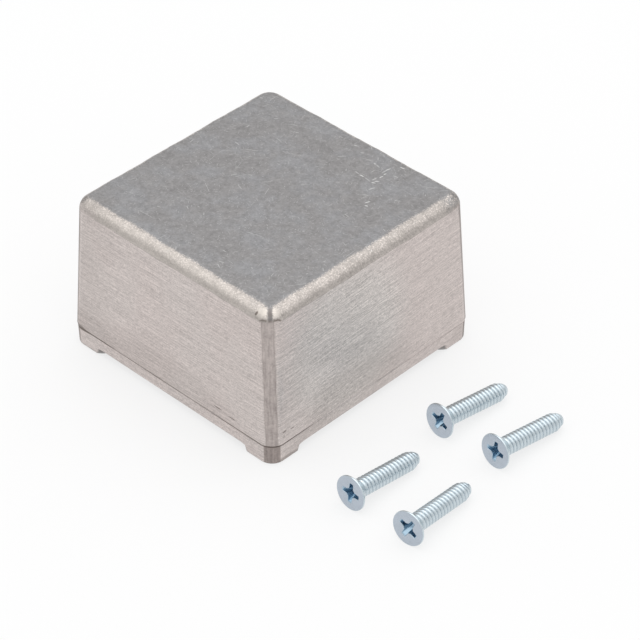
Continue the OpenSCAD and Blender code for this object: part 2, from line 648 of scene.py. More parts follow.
@dataclass(frozen=True)
class CastFinish:
    """Unpainted die-cast aluminium: a tumbled skin, with sides that were sanded flat on a belt.

    The piece's marks say how far a place is sanded, how far it is part of a rounded edge, and how dark a
    crease it is. The rounded edge is brighter partly from wear and partly from a painted highlight; the
    crease mark is mostly painted shade, besides the dark joint. Depths are measured down from the height
    from which the skin is scratched.

    Attributes:
        name: the material's name.
        scored_from: height from which the skin is scratched.
        scores: deeper scratches in the top.
        bright: spots of painted highlight on the rounded edge.
        nicks_and_shade: dark spots: nicks, painted shade beside the joint, and darker areas low on the sides.
        cool_patch: part of a side that was sanded with a coarser belt and looks cooler.
        cool_contrast: how much stronger the lines are there.
        corners: where the outer corners begin, as the sum of the distances along X and Y.
        score_depth: depths between which the scratches begin.
        brow_depth: depths between which the upper border of the rounded edge begins.
        top_depth: depths between which the top's own skin begins.
        inner: colour of the skin that nothing has worn, inside and underneath.
        crease_dark: how dark the creases are; that darkness is painted shade, besides the dark joint.
        hazy, patchy, glinting: values of cloud, patches and specks between which haze, cool patches and
            glints begin.
        drawn, drawn_out: upright lines at the corners, and their scales along X, Y and Z.
        fraying, frayed: how far specks fray the border of the rounded edge, and values between which the edge
            then begins.
        edge_specks, edge_glints: how strongly specks and painted glints show along the edge.
        highlight_cover: how far a spot of painted highlight covers the edge's own colour.
    """

    name: str
    scored_from: float
    scores: tuple[Spot, ...] = ()
    bright: tuple[Spot, ...] = ()
    nicks_and_shade: tuple[Spot, ...] = ()
    cool_patch: Spot = Spot((25.0, -6.5, 17.0), (7.0, 18.0, 20.0))
    cool_contrast: float = 0.4
    corners: Span = (43.5, 44.5)
    score_depth: Span = (0.3, 0.0)
    brow_depth: Span = (0.8, 0.2)
    top_depth: Span = (1.1, 0.6)
    skin: Colour = (0.298, 0.290, 0.289)
    haze: Colour = (0.290, 0.288, 0.294)
    inner: Colour = (0.36, 0.352, 0.35)
    # Cast skin down the upright corners: lighter and warmer than the top, partly a painted warm reflection
    # from below
    flank: Colour = (0.43, 0.382, 0.364)
    # Colour of the rounded edge: brighter and warmer than the skin, partly worn metal, partly a painted
    # highlight
    edge: Colour = (0.460, 0.423, 0.396)
    # Sanded sides: their warm tint is a painted warm reflection from below
    sanded: Colour = (0.578, 0.518, 0.496)
    cool: Colour = (0.580, 0.542, 0.520)
    scratch: Colour = (0.72, 0.72, 0.71)
    # Colour of the spots of painted highlight on the rounded edge
    painted_highlight: Colour = (0.61, 0.565, 0.52)
    # Colour of the crease mark: painted shade in creases, under edges and at corners; also the dark joint and
    # nicks
    crease: Colour = (0.13, 0.105, 0.09)
    crease_dark: float = 0.9
    grain: Noise = Noise(2.6, rough=0.7, weight=0.65)
    specks: Noise = Noise(4.0, detail=1.0, weight=0.6)
    cloud: Noise = Noise(0.16, detail=4.0, rough=0.6, weight=0.4)
    hazy: Span = (-0.1, 0.15)
    mottle: Noise = Noise(0.8, rough=0.6, weight=0.48)
    patches: Noise = Noise(0.06, weight=0.3)
    patchy: Span = (-0.06, 0.12)
    drawn: Noise = Noise(1.0, rough=0.6, weight=0.7)
    drawn_out: Three = (3.2, 3.2, 0.16)
    fine: BeltLines = BeltLines(along=0.12, across=4.6, weight=0.65, seed=0.0)
    dashes: BeltLines = BeltLines(along=0.9, across=4.6, weight=0.55, seed=5.0)
    broad: BeltLines = BeltLines(along=0.07, across=1.1, weight=0.12, seed=3.0, detail=2.0)
    scratches: tuple[Scratches, ...] = (
        Scratches(cell=0.9, length=0.4, width=0.07, share=0.5, strength=0.25),
        Scratches(cell=1.7, length=0.5, width=0.07, share=0.07, strength=0.6),
        Scratches(cell=4.6, length=1.4, width=0.06, share=0.2, strength=0.4),
    )
    fraying: float = 8.0
    frayed: Span = (0.08, 0.92)
    edge_specks: float = 0.7
    edge_glints: float = 0.25
    glinting: Span = (0.06, 0.16)
    highlight_cover: float = 0.85
    skin_rough: float = 0.44
    edge_rough: float = 0.36
    sanded_rough: float = 0.40
    line_rough: float = 0.2
    grain_rough: float = 0.15
    scratch_gloss: float = 0.15
    skin_relief: float = 0.016
    edge_relief: float = 0.03
    line_relief: float = 0.006
    bump: float = 0.6

    def above(self, place: Value, depth: Span) -> Value:
        """0 up to the first depth, and 1 from the second one on."""
        return place.part(2).step(*(self.scored_from - below for below in depth))

    def side_colour(self, place: Value, fine: Value, specks: Value) -> Value:
        """Colour of the sanded sides: belt lines and specks on patches of two tones.

        Args:
            place: the surface's place.
            fine: the finest belt lines.
            specks: specks in the metal.

        Returns:
            The colour.
        """
        cool = self.cool_patch.mask(place)
        patches = (self.patches.at(place).step(*self.patchy) * self.patches.weight).larger(cool)
        lines = fine * self.fine.weight + self.dashes.at(place) * self.dashes.weight
        lines = (lines + specks * self.specks.weight) * (cool * self.cool_contrast + 1.0)
        tone = lines + self.broad.at(place) * self.broad.weight + 1.0
        return patches.mixed(self.sanded, self.cool).scaled(tone)

    def skin_colour(self, place: Value, edge: Value, grain: Value, specks: Value, brow: Value) -> Value:
        """Colour of the cast skin: hazy on top, drawn at the corners, with painted glints on the edge.

        Args:
            place: the surface's place.
            edge: how far it is part of the rounded edge, whose colour is partly a painted highlight.
            grain: grain of the metal.
            specks: specks in the metal.
            brow: how far it is near the upper border of the rounded edge.

        Returns:
            The colour, without scratches.
        """
        cloud, mottle = self.cloud.at(place), self.mottle.at(place)
        upper = self.above(place, self.top_depth)
        corner = (abs(place.part(0)) + abs(place.part(1))).step(*self.corners)
        skin = cloud.step(*self.hazy).mixed(self.skin, self.haze)
        skin = upper.mixed(corner.mixed(self.inner, self.flank), skin)
        # The rounded edge: worn metal, brightened further by a painted highlight
        skin = edge.mixed(skin, self.edge)
        tone = cloud * self.cloud.weight + mottle * self.mottle.weight + grain * self.grain.weight + 1.0
        # Painted glints along the edge's upper border
        glints = specks.step(*self.glinting) * brow * self.edge_glints
        tone = tone + edge * (specks * self.edge_specks + glints)
        drawn = self.drawn.at(place.vector_math("MULTIPLY", self.drawn_out))
        tone = tone + corner * (1.0 - upper) * drawn * self.drawn.weight
        return skin.scaled(tone)

    def material(self) -> bpy.types.Material:
        """Makes the material.

        Returns:
            A metal whose colour, roughness and relief follow the marks.
        """
        material, tree, shader = blank_material(self.name)
        place = place_of(tree)
        sanded, edge, crease = marks_of(tree)
        grain, specks, fine = (kind.at(place) for kind in (self.grain, self.specks, self.fine))
        brow = self.above(place, self.brow_depth)
        edge = (edge + specks * self.fraying * brow * edge * (1.0 - edge)).step(*self.frayed)

        first, *others = self.scratches
        worn = marked(first.mask(place), place, (*others, *self.scores)) * self.above(place, self.score_depth)
        skin = worn.mixed(self.skin_colour(place, edge, grain, specks, brow), self.scratch)
        # Spots of painted highlight on the rounded edge
        for spot in self.bright:
            skin = (spot.mask(place) * edge * (specks + self.highlight_cover)).mixed(skin, self.painted_highlight)
        colour = sanded.mixed(skin, self.side_colour(place, fine, specks))
        # Painted shade and the dark joint from the crease mark, with nicks and spots of painted shade
        dark = marked(crease * self.crease_dark, place, self.nicks_and_shade)
        colour = dark.mixed(colour, self.crease)

        rough = edge * (self.edge_rough - self.skin_rough) + self.skin_rough
        rough = rough + sanded * (fine * self.line_rough + (self.sanded_rough - self.skin_rough))
        rough = rough + grain * self.grain_rough - worn * self.scratch_gloss
        rugged = (grain + 0.5) * (edge * self.edge_relief + self.skin_relief)
        relief = sanded * (fine * self.line_relief - rugged) + rugged
        dress(shader, colour, rough, relief, self.bump)
        return material


@dataclass(frozen=True)
class ZincFinish:
    """Bright zinc plate on a steel screw, with a bluish passivated film.

    The piece's marks say where the head's face is, and how deep a place lies in the thread's groove and in
    the recess.
    """

    name: str
    film: Colour = (0.60, 0.675, 0.715)
    face: Colour = (0.47, 0.522, 0.586)
    # Painted shade down in the thread's groove
    groove: Colour = (0.25, 0.32, 0.38)
    recess: Colour = (0.29, 0.43, 0.55)
    cloud: Noise = Noise(0.7, weight=0.2)
    grain: Noise = Noise(9.0, weight=0.12)
    rough: float = 0.27
    face_rough: float = 0.08
    cloud_rough: float = 0.15
    grain_relief: float = 0.006
    bump: float = 0.3

    def material(self) -> bpy.types.Material:
        """Makes the material.

        Returns:
            A metal whose film and roughness change a little from place to place.
        """
        material, tree, shader = blank_material(self.name)
        place = place_of(tree)
        face, groove, recess = marks_of(tree)
        cloud, grain = self.cloud.at(place), self.grain.at(place)
        # Painted shade in the thread's groove
        colour = groove.mixed(face.mixed(self.film, self.face), self.groove)
        colour = recess.mixed(colour, self.recess)
        colour = colour.scaled(cloud * self.cloud.weight + grain * self.grain.weight + 1.0)
        rough = face * self.face_rough + cloud * self.cloud_rough + self.rough
        dress(shader, colour, rough, grain * self.grain_relief, self.bump)
        return material


# Marks of wear, painted highlights and painted shade


# The imported part's highest point is the shell's top
SHELL_TOP = CAD_BOX[1].z / MM
SCORE_HALF_WIDTH = 0.13
SCORE_DEPTH = 0.8


def score(x: float, y: float, half: float, turn: float, strength: float = 1.0) -> Spot:
    """A thin straight scratch in the shell's top."""
    return Spot((x, y, SHELL_TOP), (half, SCORE_HALF_WIDTH, SCORE_DEPTH), strength, turn)


TOP_SCORES = (
    score(6.0, 15.5, 0.7, -8.0, 0.4),
    score(7.2, 15.4, 0.6, 3.0),
    score(8.6, 15.3, 1.0, -8.0, 0.35),
    score(10.1, 15.3, 0.5, 27.0),
    score(10.25, 16.0, 0.6, 54.0, 0.8),
    score(9.45, 16.2, 0.6, 78.0, 0.7),
    score(9.9, 17.5, 0.55, 83.0),
    score(9.8, 18.5, 0.45, 84.0, 0.8),
    score(9.2, 19.05, 0.8, 84.0, 0.45),
    score(9.25, 19.95, 0.7, 75.0, 0.8),
    score(6.45, 19.55, 0.3, 13.0),
    score(7.3, 19.4, 0.6, -12.0, 0.45),
    score(10.75, 21.95, 0.6, 12.0),
    score(11.05, 13.9, 0.8, 72.0, 0.55),
    score(11.5, 11.75, 0.7, 36.0, 0.4),
    score(13.2, 10.5, 0.65, 67.0),
    score(13.8, 9.6, 0.4, 22.0),
    score(0.25, 21.2, 0.45, 18.0, 0.6),
    score(2.55, 20.4, 0.4, 30.0, 0.5),
)
# Painted highlights on the top's edge: faint along the -Y side, strong either side of the front corner
EDGE_HIGHLIGHTS = (
    Spot((0.0, -23.4, 30.3), (30.0, 2.0, 1.6), 0.4),
    Spot((21.0, -23.0, 30.4), (1.25, 1.3, 1.4), 1.1),
    Spot((22.8, -21.5, 30.5), (1.2, 1.15, 1.4), 0.8),
)
# Nicks low on the -Y side, on the +X side beside the front corner and in that corner's edge
NICKS = (
    Spot((12.2, -25.15, 5.97), (1.2, 0.4, 0.17), 0.75),
    Spot((13.9, -25.15, 5.74), (1.0, 0.4, 0.1), 0.35),
    Spot((15.6, -25.17, 5.65), (1.2, 0.4, 0.17), 0.75),
    Spot((25.12, -22.1, 6.55), (0.4, 0.65, 0.22), 0.7),
    Spot((25.17, -22.3, 5.55), (0.4, 0.28, 0.45), 0.25),
    Spot((25.13, -20.2, 6.2), (0.4, 0.5, 0.16), 0.6),
    Spot((20.35, -23.45, 30.15), (0.3, 0.5, 0.55), 0.8),
)
# Painted shade beside the joint at the left corner, and darker areas low on the sides, of shell and lid
SHELL_SHADE_AND_DARKENING = (
    Spot((-23.5, -25.0, 4.15), (3.2, 1.2, 0.75), 0.7),
    Spot((-24.0, -25.0, 4.0), (18.0, 2.0, 6.5), 0.19),
    Spot((-6.0, -25.0, 4.0), (28.0, 2.0, 8.0), 0.11),
    Spot((25.0, -4.0, 5.0), (2.0, 16.0, 8.0), 0.15),
)
LID_SHADE_AND_DARKENING = (
    Spot((-22.8, -25.0, 3.9), (4.0, 1.0, 0.5), 0.85),
    Spot((25.0, -21.0, 0.4), (1.0, 3.6, 0.8), 0.4),
    Spot((25.0, -9.0, 2.5), (2.0, 18.0, 4.0), 0.1),
    Spot((25.0, 22.5, 2.0), (1.5, 4.0, 2.6), 0.12),
)
# The lid's upright corners: darker than the shell's, with the same painted warm reflection from below
LID_FLANK: Colour = (0.31, 0.268, 0.252)


# Pieces


@dataclass(frozen=True)
class CaseFrame:
    """Sizes that the pieces share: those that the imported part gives, and those of both castings.

    Attributes:
        shell_half: half width of the shell, at its rim.
        lid_half: half width of the lid, at the joint.
        joint: height of the joint between them.
        top: height of the closed end.
        lip_top: height of the lip.
        axis: distance of the screw axes from the middle, along X and Y.
        hole_r: radius of the lid's holes.
        tap_r: radius of the tapped holes, before their thread is cut.
        draft: lean of the shell's walls, in degrees.
        wall: thickness of the shell's walls.
        boss_wall: metal round a tapped hole.
        pitch: rise of the thread in one turn.
        head_rim: height of the straight rim of a screw's head.
        head_angle: angle of the countersunk head, in degrees.
    """

    shell_half: float
    lid_half: float
    joint: float
    top: float
    lip_top: float
    axis: float
    hole_r: float
    tap_r: float
    draft: float = 2.75
    wall: float = 2.0
    boss_wall: float = 2.45
    pitch: float = 0.794
    head_rim: float = 0.25
    head_angle: float = 82.0

    @classmethod
    def read(cls) -> "CaseFrame":
        """Reads the sizes from the nodes' boxes and the record's mounts.

        Returns:
            The sizes, in millimetres.
        """
        shell_low, shell_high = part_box("shell")
        lid_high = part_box("lid")[1]
        mounts = {mount["name"]: mount["dims"] for mount in frame["record"]["mounts"]}
        lid_holes, taps = mounts["lid_screw_holes"], mounts["shell_screw_holes"]
        return cls(
            shell_half=shell_high.x / MM,
            lid_half=lid_high.x / MM,
            joint=shell_low.z / MM,
            top=shell_high.z / MM,
            lip_top=lid_high.z / MM,
            axis=lid_holes["spacing_x_mm"] / 2,
            hole_r=lid_holes["hole_r_mm"],
            tap_r=taps["hole_r_mm"],
        )

    @property
    def boss_r(self) -> float:
        """Radius of the shell's bosses, at the joint."""
        return self.tap_r + self.boss_wall

    def half_at(self, height: Array) -> Array:
        """Half width of the shell's sides: it falls from the rim by the draft's tangent."""
        return self.shell_half - (height - self.joint) * slope(self.draft)

    def at_screws(self, points: Array, quarter: int) -> Array:
        """Points about a screw axis, moved to the axis of one quarter of the case and turned with it."""
        shift = np.array([self.axis, self.axis, 0.0])
        return about_z(points + shift[: points.shape[-1]], quarter)


@dataclass(frozen=True)
class Seam:
    """How dark the joint between shell and lid is.

    Attributes:
        sides: darkness in the middle of each side.
        corners: darkness of each corner.
        ends: between which shares of a half side it takes on the corner's darkness.
        uneven: how much it changes along a side.
        depth: share of an edge's radius from which on the joint is fully dark.
    """

    sides: Four = (0.14, 0.5, 0.6, 0.75)
    corners: Four = (0.3, 0.6, 1.0, 1.0)
    ends: Span = (0.72, 0.97)
    uneven: Waves = Waves(0.25, density=24.0, step=0.9)
    depth: float = 0.1

    def along(self, share: Array, quarter: int) -> Array:
        """Darkness along a side: its own in the middle, and that of the corners towards its ends.

        Args:
            share: place along the side, from -1 to 1.
            quarter: which side it is.

        Returns:
            From 0 to about 1, for each place.
        """
        side = self.sides[quarter]
        corner = np.where(share < 0, self.corners[quarter - 1], self.corners[quarter])
        dark = side + (corner - side) * eased(np.abs(share), *self.ends)
        return dark * (1 + self.uneven.at(share, quarter))

    def into(self, inset: Array, radius: float) -> Array:
        """How far a level lies in the joint, where its edge of a given radius is drawn in by an inset."""
        return eased(inset, 0.0, self.depth * radius)


@dataclass(frozen=True)
class Levels:
    """Levels of the shell's outside, from the rim to the top, one row each.

    Attributes:
        height: height of the level.
        rise: share of the wall's height, 1 from the top's rounding on.
        cast: half width of the casting, without the top's rounding.
        cut: half width of the sanded planes.
        turn: angle past the start of the top's rounding.
        seam: how far the level lies in the joint.
    """

    height: Array
    rise: Array
    cast: Array
    cut: Array
    turn: Array
    seam: Array


@dataclass(frozen=True)
class ShellWearAndShade:
    """Finish marks of the shell's outside, with its painted highlights and painted shade.

    Fours go by side or by corner, and turns are angles of the top's rounding.

    Attributes:
        seam: the joint.
        worn: how far the top's edge is worn bright, by side; that brightness is partly a painted highlight.
        dulled: how much less so towards a side's last end.
        end_shade: painted shade towards a side's first end.
        smeared: how far sanding runs over the edge, at a side's first end.
        corner_shade: how dark the painted shade at the top's corners is.
        band: width of the band that keeps the cast skin down each corner.
        band_lean: how far the band leans aside up to the top, as an angle round the corner.
        band_shade: how dark the band's painted shade is, by corner.
        band_uneven: how far its borders wander, as an angle round the corner.
        dull_ends, fade_ends, smear_ends: between which shares of a half side these begin.
        smear_sweep: the same for the smear, as angles round the corner.
        smear_from, smear_turn: turns between which the smear begins at a corner, and between which it ends.
        edge_turn, crown_turn: turns between which the bright edge begins and ends.
        wall_turn: turns between which the wall's own finish ends at a corner.
        corner_lift: how much later the rounding's finish begins in the middle of a corner.
        corner_reach: distances from a corner's middle between which that begins.
        border: half the width over which the skin gives way to sanding, as a depth.
        border_dark: how dark that border is.
        brink: half the width of the band's borders, as an angle round the corner.
        brink_line, brink_dark: width and darkness of the line along them.
        band_soft: half the width over which the band's own darkness ends.
        neck: distances from a corner's middle between which its painted shade ends.
            neck_dark, neck_uneven: darkness of that painted shade, and how much that changes.
            rim_turn, rim_width: turn and width of the painted shade in rims under the ends of the bright edge.
            rim_from, rim_to: distances from a corner's middle between which these begin and end.
        rim_dark: how dark they are.
    """

    seam: Seam
    worn: Four = (1.0, 0.55, 0.55, 1.0)
    dulled: Four = (0.5, 0.0, 0.0, 0.0)
    end_shade: Four = (0.0, 0.0, 0.0, 0.11)
    smeared: Four = (0.0, 0.0, 0.0, 0.7)
    corner_shade: Four = (0.3, 0.3, 0.4, 1.0)
    band: float = 2.1
    band_lean: Four = (-0.12, -0.05, 0.06, -0.16)
    band_shade: Four = (0.3, 0.0, 0.3, 0.0)
    band_uneven: Waves = Waves(0.02, density=2.2, step=2.3)
    dull_ends: Span = (0.82, 1.0)
    fade_ends: Span = (0.5, 1.0)
    smear_ends: Span = (0.8, 1.0)
    smear_sweep: Span = (0.6, 0.9)
    smear_from: Span = (0.1, 0.2)
    smear_turn: Span = (0.9, 0.3)
    edge_turn: Span = (0.0, 0.1)
    crown_turn: Span = (1.57, 1.2)
    wall_turn: Span = (0.2, 0.12)
    corner_lift: float = 0.18
    corner_reach: Span = (1.9, 1.2)
    border: float = 0.006
    border_dark: float = 0.25
    brink: float = 0.02
    brink_line: float = 0.05
    brink_dark: float = 0.2
    band_soft: float = 0.05
    neck: Span = (0.684, 0.108)
    neck_dark: float = 0.5
    neck_uneven: Waves = Waves(0.3, density=4.0, seed=0.6)
    rim_turn: float = 0.18
    rim_width: float = 0.08
    rim_from: Span = (0.4, 0.7)
    rim_to: Span = (2.0, 1.6)
    rim_dark: float = 0.8

    def smear(self, levels: Levels, quarter: int) -> Array:
        """How far sanding runs over the edge of a side at each level, where it does so."""
        return self.smeared[quarter % 4] * eased(levels.turn, *self.smear_turn)

    def side(self, levels: Levels, cast: Array, share: Array, quarter: int) -> Array:
        """Finish marks of one side, with its painted highlight and painted shade.

        Args:
            levels: levels of the outside.
            cast: half width of the casting, place by place.
            share: place along the side, from -1 to 1.
            quarter: which side it is.

        Returns:
            Sanded, edge and crease marks, as levels x points x 3.
        """
        proud = cast - levels.cut
        smear = self.smear(levels, quarter) * eased(-share, *self.smear_ends)
        sanded = np.maximum(eased(proud, -self.border, self.border), smear)
        worn = self.worn[quarter] * (1 - self.dulled[quarter] * eased(share, *self.dull_ends))
        edge = eased(levels.turn, *self.edge_turn) * eased(levels.turn, *self.crown_turn) * worn
        line = peak(proud, -self.border, 2 * self.border) * (levels.turn > 0) * self.border_dark * (1 - smear)
        # Painted shade towards a side's first end
        line = np.maximum(line, self.end_shade[quarter] * eased(-share, *self.fade_ends))
        return np.stack([sanded, edge, np.maximum(line, levels.seam * self.seam.along(share, quarter))], -1)

    def corner(self, levels: Levels, radius: Array, sweep: Array, quarter: int) -> Array:
        """Finish marks of one corner: its middle band keeps the cast skin, and its top end has painted shade.

        Args:
            levels: levels of the outside.
            radius: radius of the corner at each level.
            sweep: angle round the corner.
            quarter: which corner it is.

        Returns:
            Sanded, edge and crease marks, as levels x points x 3.
        """
        middle = RIGHT_ANGLE / 2
        away = np.abs(radius * np.sin(sweep - middle))
        turn = levels.turn - self.corner_lift * eased(away, *self.corner_reach)
        wall = eased(turn, *self.wall_turn)
        aside = np.abs(sweep - middle - self.band_lean[quarter] * levels.rise)
        band = np.arcsin(np.minimum(self.band / 2 / radius, 1.0))
        band = band + self.band_uneven.at(levels.height, quarter)
        smear = self.smear(levels, quarter + 1) * eased(sweep, *self.smear_sweep)
        sanded = eased(aside - band, -self.brink, self.brink) * wall
        sanded = np.maximum(sanded, smear * eased(levels.turn, *self.smear_from))

        worn = self.worn[quarter] * (1 - self.dulled[quarter])
        worn = worn + (self.worn[(quarter + 1) % 4] - worn) * sweep / RIGHT_ANGLE
        # Painted shade at the corner's top end, which breaks off the edge's painted highlight
        within = self.corner_shade[quarter] * eased(away, *self.neck)
        rounding = eased(turn, *self.edge_turn) * eased(levels.turn, *self.crown_turn)
        edge = rounding * (1 - within) * worn

        # Painted shade in rims under the ends of the edge's painted highlight
        rims = eased(away, *self.rim_from) * eased(away, *self.rim_to) * self.rim_dark * self.corner_shade[quarter]
        neck = self.neck_dark + self.neck_uneven.at(levels.height)
        # Crease marks: painted shade, dark lines along the band's borders and the dark joint
        shade_and_joint = [
            peak(turn, self.rim_turn, self.rim_width) * rims,
            peak(aside, band, self.brink_line) * self.brink_dark * wall,
            neck * rounding * within,
            # Painted shade down the band, at the +X+Y and -X-Y corners
            eased(band - aside, -self.band_soft, self.band_soft) * self.band_shade[quarter] * wall,
            levels.seam * self.seam.corners[quarter] + 0 * sweep,
        ]
        return np.stack([sanded, edge, np.max(np.stack(shade_and_joint), 0)], -1)


@dataclass
class Shell:
    """Cast cup of the case: a drafted skin with rounded edges, and a hollow with four tapped bosses.

    Attributes:
        case: the shared sizes.
        wear_and_shade: the outside's finish, with its painted highlights and painted shade.
        rim_corner_r, top_corner_r: radius of the upright corners, at the rim and beside the top's rounding.
        edge_r: height of the top's rounding.
        edge_in: how far it reaches in, by side.
        rim_cut, top_cut: how far the casting stood proud of its sanded sides, at the rim and under the top's
            rounding.
        uneven: unevenness of the casting within the rounding.
        wander: how far the rounding's upper border wanders.
        end_power: power of the place along a side with which both end towards its ends.
        rim_r: radius of the rim's edge.
        rim_fade: width over which the joint's darkness ends on the rim's face.
        scored_depth: depth under the top from which it is scratched.
        run_in, run_out: how far from the mouth and from the end of a tapped hole the thread is whole.
        rim_rows, wall_rows, edge_rows: rows of the rim's edge, of the wall and of the top's rounding.
        top_rings: rings of the top's face.
        flats, arcs: points along a side and round a corner.
        inner_rows, roof_rows, roof_rings: rows of the hollow's wall and of its rounding, rings of its roof.
        inner_flats, inner_arcs: points along a side of the hollow and round a boss.
        hole_columns, rows_per_turn: points round a tapped hole, and rows in one turn of its thread.
    """

    case: CaseFrame
    wear_and_shade: ShellWearAndShade
    rim_corner_r: float = 3.1
    top_corner_r: float = 2.95
    edge_r: float = 1.88
    edge_in: Four = (2.9, 1.5, 1.5, 2.9)
    rim_cut: float = 0.06
    top_cut: float = 0.012
    uneven: Waves = Waves(0.016, seed=1.0, step=1.7)
    wander: Waves = Waves(0.25, density=1.5, seed=0.4, step=2.9)
    end_power: int = 8
    rim_r: float = 0.25
    rim_fade: float = 0.1
    scored_depth: float = 0.3
    roof: float = 2.2
    roof_r: float = 1.0
    boss_draft: float = 1.0
    tap_depth: float = 13.0
    tap_chamfer: float = 0.3
    drill_point: float = 118.0
    thread_bite: float = 0.35
    run_in: Span = (0.2, 1.0)
    run_out: float = 1.5
    rim_rows: int = 6
    wall_rows: int = 24
    edge_rows: int = 44
    top_rings: int = 20
    flats: int = 56
    arcs: int = 44
    inner_rows: int = 6
    roof_rows: int = 9
    roof_rings: int = 6
    inner_flats: int = 10
    inner_arcs: int = 24
    hole_columns: int = 32
    rows_per_turn: int = 8

    @property
    def wall_end(self) -> float:
        """Height at which the top's rounding starts."""
        return self.case.top - self.edge_r

    def rise_at(self, height: Array) -> Array:
        """Share of the wall's height: 0 at the rim, and 1 from the top's rounding on."""
        return (np.minimum(height, self.wall_end) - self.case.joint) / (self.wall_end - self.case.joint)

    def cast_at(self, height: Array) -> Array:
        """Half width of the casting before its sides were sanded, without the top's rounding."""
        proud = self.rim_cut + (self.top_cut - self.rim_cut) * self.rise_at(height)
        return self.case.half_at(np.minimum(height, self.wall_end)) + proud

    def core_at(self, height: Array) -> Array:
        """Distance of the corners' arc centres from the middle; they stand upright in the top's rounding."""
        radius = self.rim_corner_r + (self.top_corner_r - self.rim_corner_r) * self.rise_at(height)
        return self.cast_at(height) - radius

    def levels(self) -> Levels:
        """Works out the levels: the rim's face, round its edge, up the wall and over a quarter ellipse.

        Returns:
            The levels, from the rim to the top.
        """
        joint = self.case.joint
        rim = np.r_[0.0, np.linspace(0.0, RIGHT_ANGLE, self.rim_rows)[:-1]][:, None]
        wall = np.linspace(joint + self.rim_r, self.wall_end, self.wall_rows)[:-1, None]
        turn = np.linspace(0.0, RIGHT_ANGLE, self.edge_rows)[:, None]
        rim_height = joint + self.rim_r * (1 - np.cos(rim))
        height = np.r_[rim_height, wall, self.wall_end + self.edge_r * np.sin(turn)]
        inset = np.r_[self.rim_r * (1 - np.sin(rim)), 0 * wall, 0 * turn]
        inset[0] += self.rim_fade
        seam = self.wear_and_shade.seam.into(inset, self.rim_r)
        seam[0] = 0.0
        return Levels(
            height=height,
            rise=self.rise_at(height),
            cast=self.cast_at(height) - inset,
            cut=self.case.half_at(height) - inset,
            turn=np.r_[0 * rim, 0 * wall, turn],
            seam=seam,
        )

    def outer_skin(self, skin: Skin) -> Array:
        """Adds the outside: a rounded square that shrinks with the draft and round the edge of the top.

        A side is the casting's own, or the sanded plane where the casting stands proud of it. A corner is an
        arc of the casting, an ellipse where its two sides are rounded unlike, cut off by both planes. What is
        uneven along a side ends where the side does.

        Args:
            skin: where it goes.

        Returns:
            The loop of the rim's outer edge, as points x 2.
        """
        levels = self.levels()
        core = self.core_at(levels.height)
        fall = 1 - np.cos(levels.turn)
        radii = [levels.cast - reach * fall - core for reach in self.edge_in]
        trims = [np.arccos(np.clip((levels.cut - core) / radius, -1.0, 1.0)) for radius in radii]
        share = 2 * np.arange(self.flats) / self.flats - 1
        free = 1 - share**self.end_power
        rounded = (levels.turn > 0) * free
        quarters, marks = [], []
        for quarter in range(4):
            before, radius, after = (radii[(quarter + step) % 4] for step in (-1, 0, 1))
            first, last = trims[quarter], trims[(quarter + 1) % 4]
            ends = core + before * np.sin(first), core + after * np.sin(first)
            along = -ends[0] + (ends[0] + ends[1]) * (share + 1) / 2
            cast = core + radius + rounded * self.uneven.at(along, quarter)
            cast = cast + fall * free * self.wander.at(along, quarter)
            side = np.stack([np.minimum(cast, levels.cut), along], -1)
            sweep = first + (RIGHT_ANGLE - first - last) * np.arange(self.arcs) / self.arcs
            corner = np.stack([core + radius * np.cos(sweep), core + after * np.sin(sweep)], -1)
            quarters.append(about_z(np.concatenate([side, corner], -2), quarter))
            side_marks = self.wear_and_shade.side(levels, cast, share, quarter)
            corner_marks = self.wear_and_shade.corner(levels, (radius + after) / 2, sweep, quarter)
            marks += [side_marks, corner_marks]
        grid = raised(np.concatenate(quarters, -2), levels.height[:, 0])
        skin.capped(grid, self.top_rings, np.concatenate(marks, 1))
        return grid[0, :, :2]

    def hollow(self, skin: Skin) -> Array:
        """Adds the inside: a notched square that shrinks with the draft and is rounded into the roof.

        Args:
            skin: where it goes.

        Returns:
            The loop of the rim's inner edge, as points x 2.
        """
        case = self.case
        roof = case.top - self.roof
        turn = np.linspace(0.0, RIGHT_ANGLE, self.roof_rows)
        wall = np.linspace(case.joint, roof - self.roof_r, self.inner_rows)[:-1]
        height = np.r_[wall, roof - self.roof_r * (1 - np.sin(turn))]
        half = case.half_at(height) - case.wall
        half[-len(turn) :] = half[-len(turn)] - self.roof_r * (1 - np.cos(turn))
        radius = case.boss_r + (height - case.joint) * slope(self.boss_draft)
        outline = notched_square(half, case.axis, radius, self.inner_flats, self.inner_arcs)
        skin.capped(raised(outline, height), self.roof_rings)
        return outline[0]

    def tapped_hole(self) -> Array:
        """A blind hole from its chamfered mouth up to the drilled point, with a thread cut into its wall.

        The thread's groove deepens the wall by the bite, along a right-hand helix, and runs out at both ends.

        Returns:
            Points about the hole's axis, as rings x columns x 3.
        """
        case = self.case
        angle = FULL_TURN * np.arange(self.hole_columns) / self.hole_columns
        rows = int(self.tap_depth / case.pitch * self.rows_per_turn)
        rise = np.linspace(self.tap_chamfer, self.tap_depth, rows)
        fade = eased(rise, *self.run_in) * eased(rise, self.tap_depth, self.tap_depth - self.run_out)
        groove = fade[:, None] * thread_wave(rise[:, None] / case.pitch - angle / FULL_TURN)
        wall = case.tap_r + self.thread_bite * groove
        ends = np.ones((1, self.hole_columns))
        radius = np.r_[ends * (case.tap_r + self.tap_chamfer), wall, 0 * ends]
        point = case.tap_r / slope(self.drill_point / 2)
        height = case.joint + np.r_[0.0, rise, self.tap_depth + point]
        return raised(radius[..., None] * rays(angle), height)

    def build(self, finish: CastFinish) -> bpy.types.Object:
        """Builds and dresses the shell.

        Args:
            finish: its finish.

        Returns:
            The piece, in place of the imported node.
        """
        skin = Skin()
        loops = [self.outer_skin(skin), self.hollow(skin)]
        for quarter in range(4):
            hole = self.case.at_screws(self.tapped_hole(), quarter)
            skin.grid(hole)
            loops.append(hole[0, :, :2])
        skin.web(loops, self.case.joint)
        return skin.build("cast_shell", finish.material())


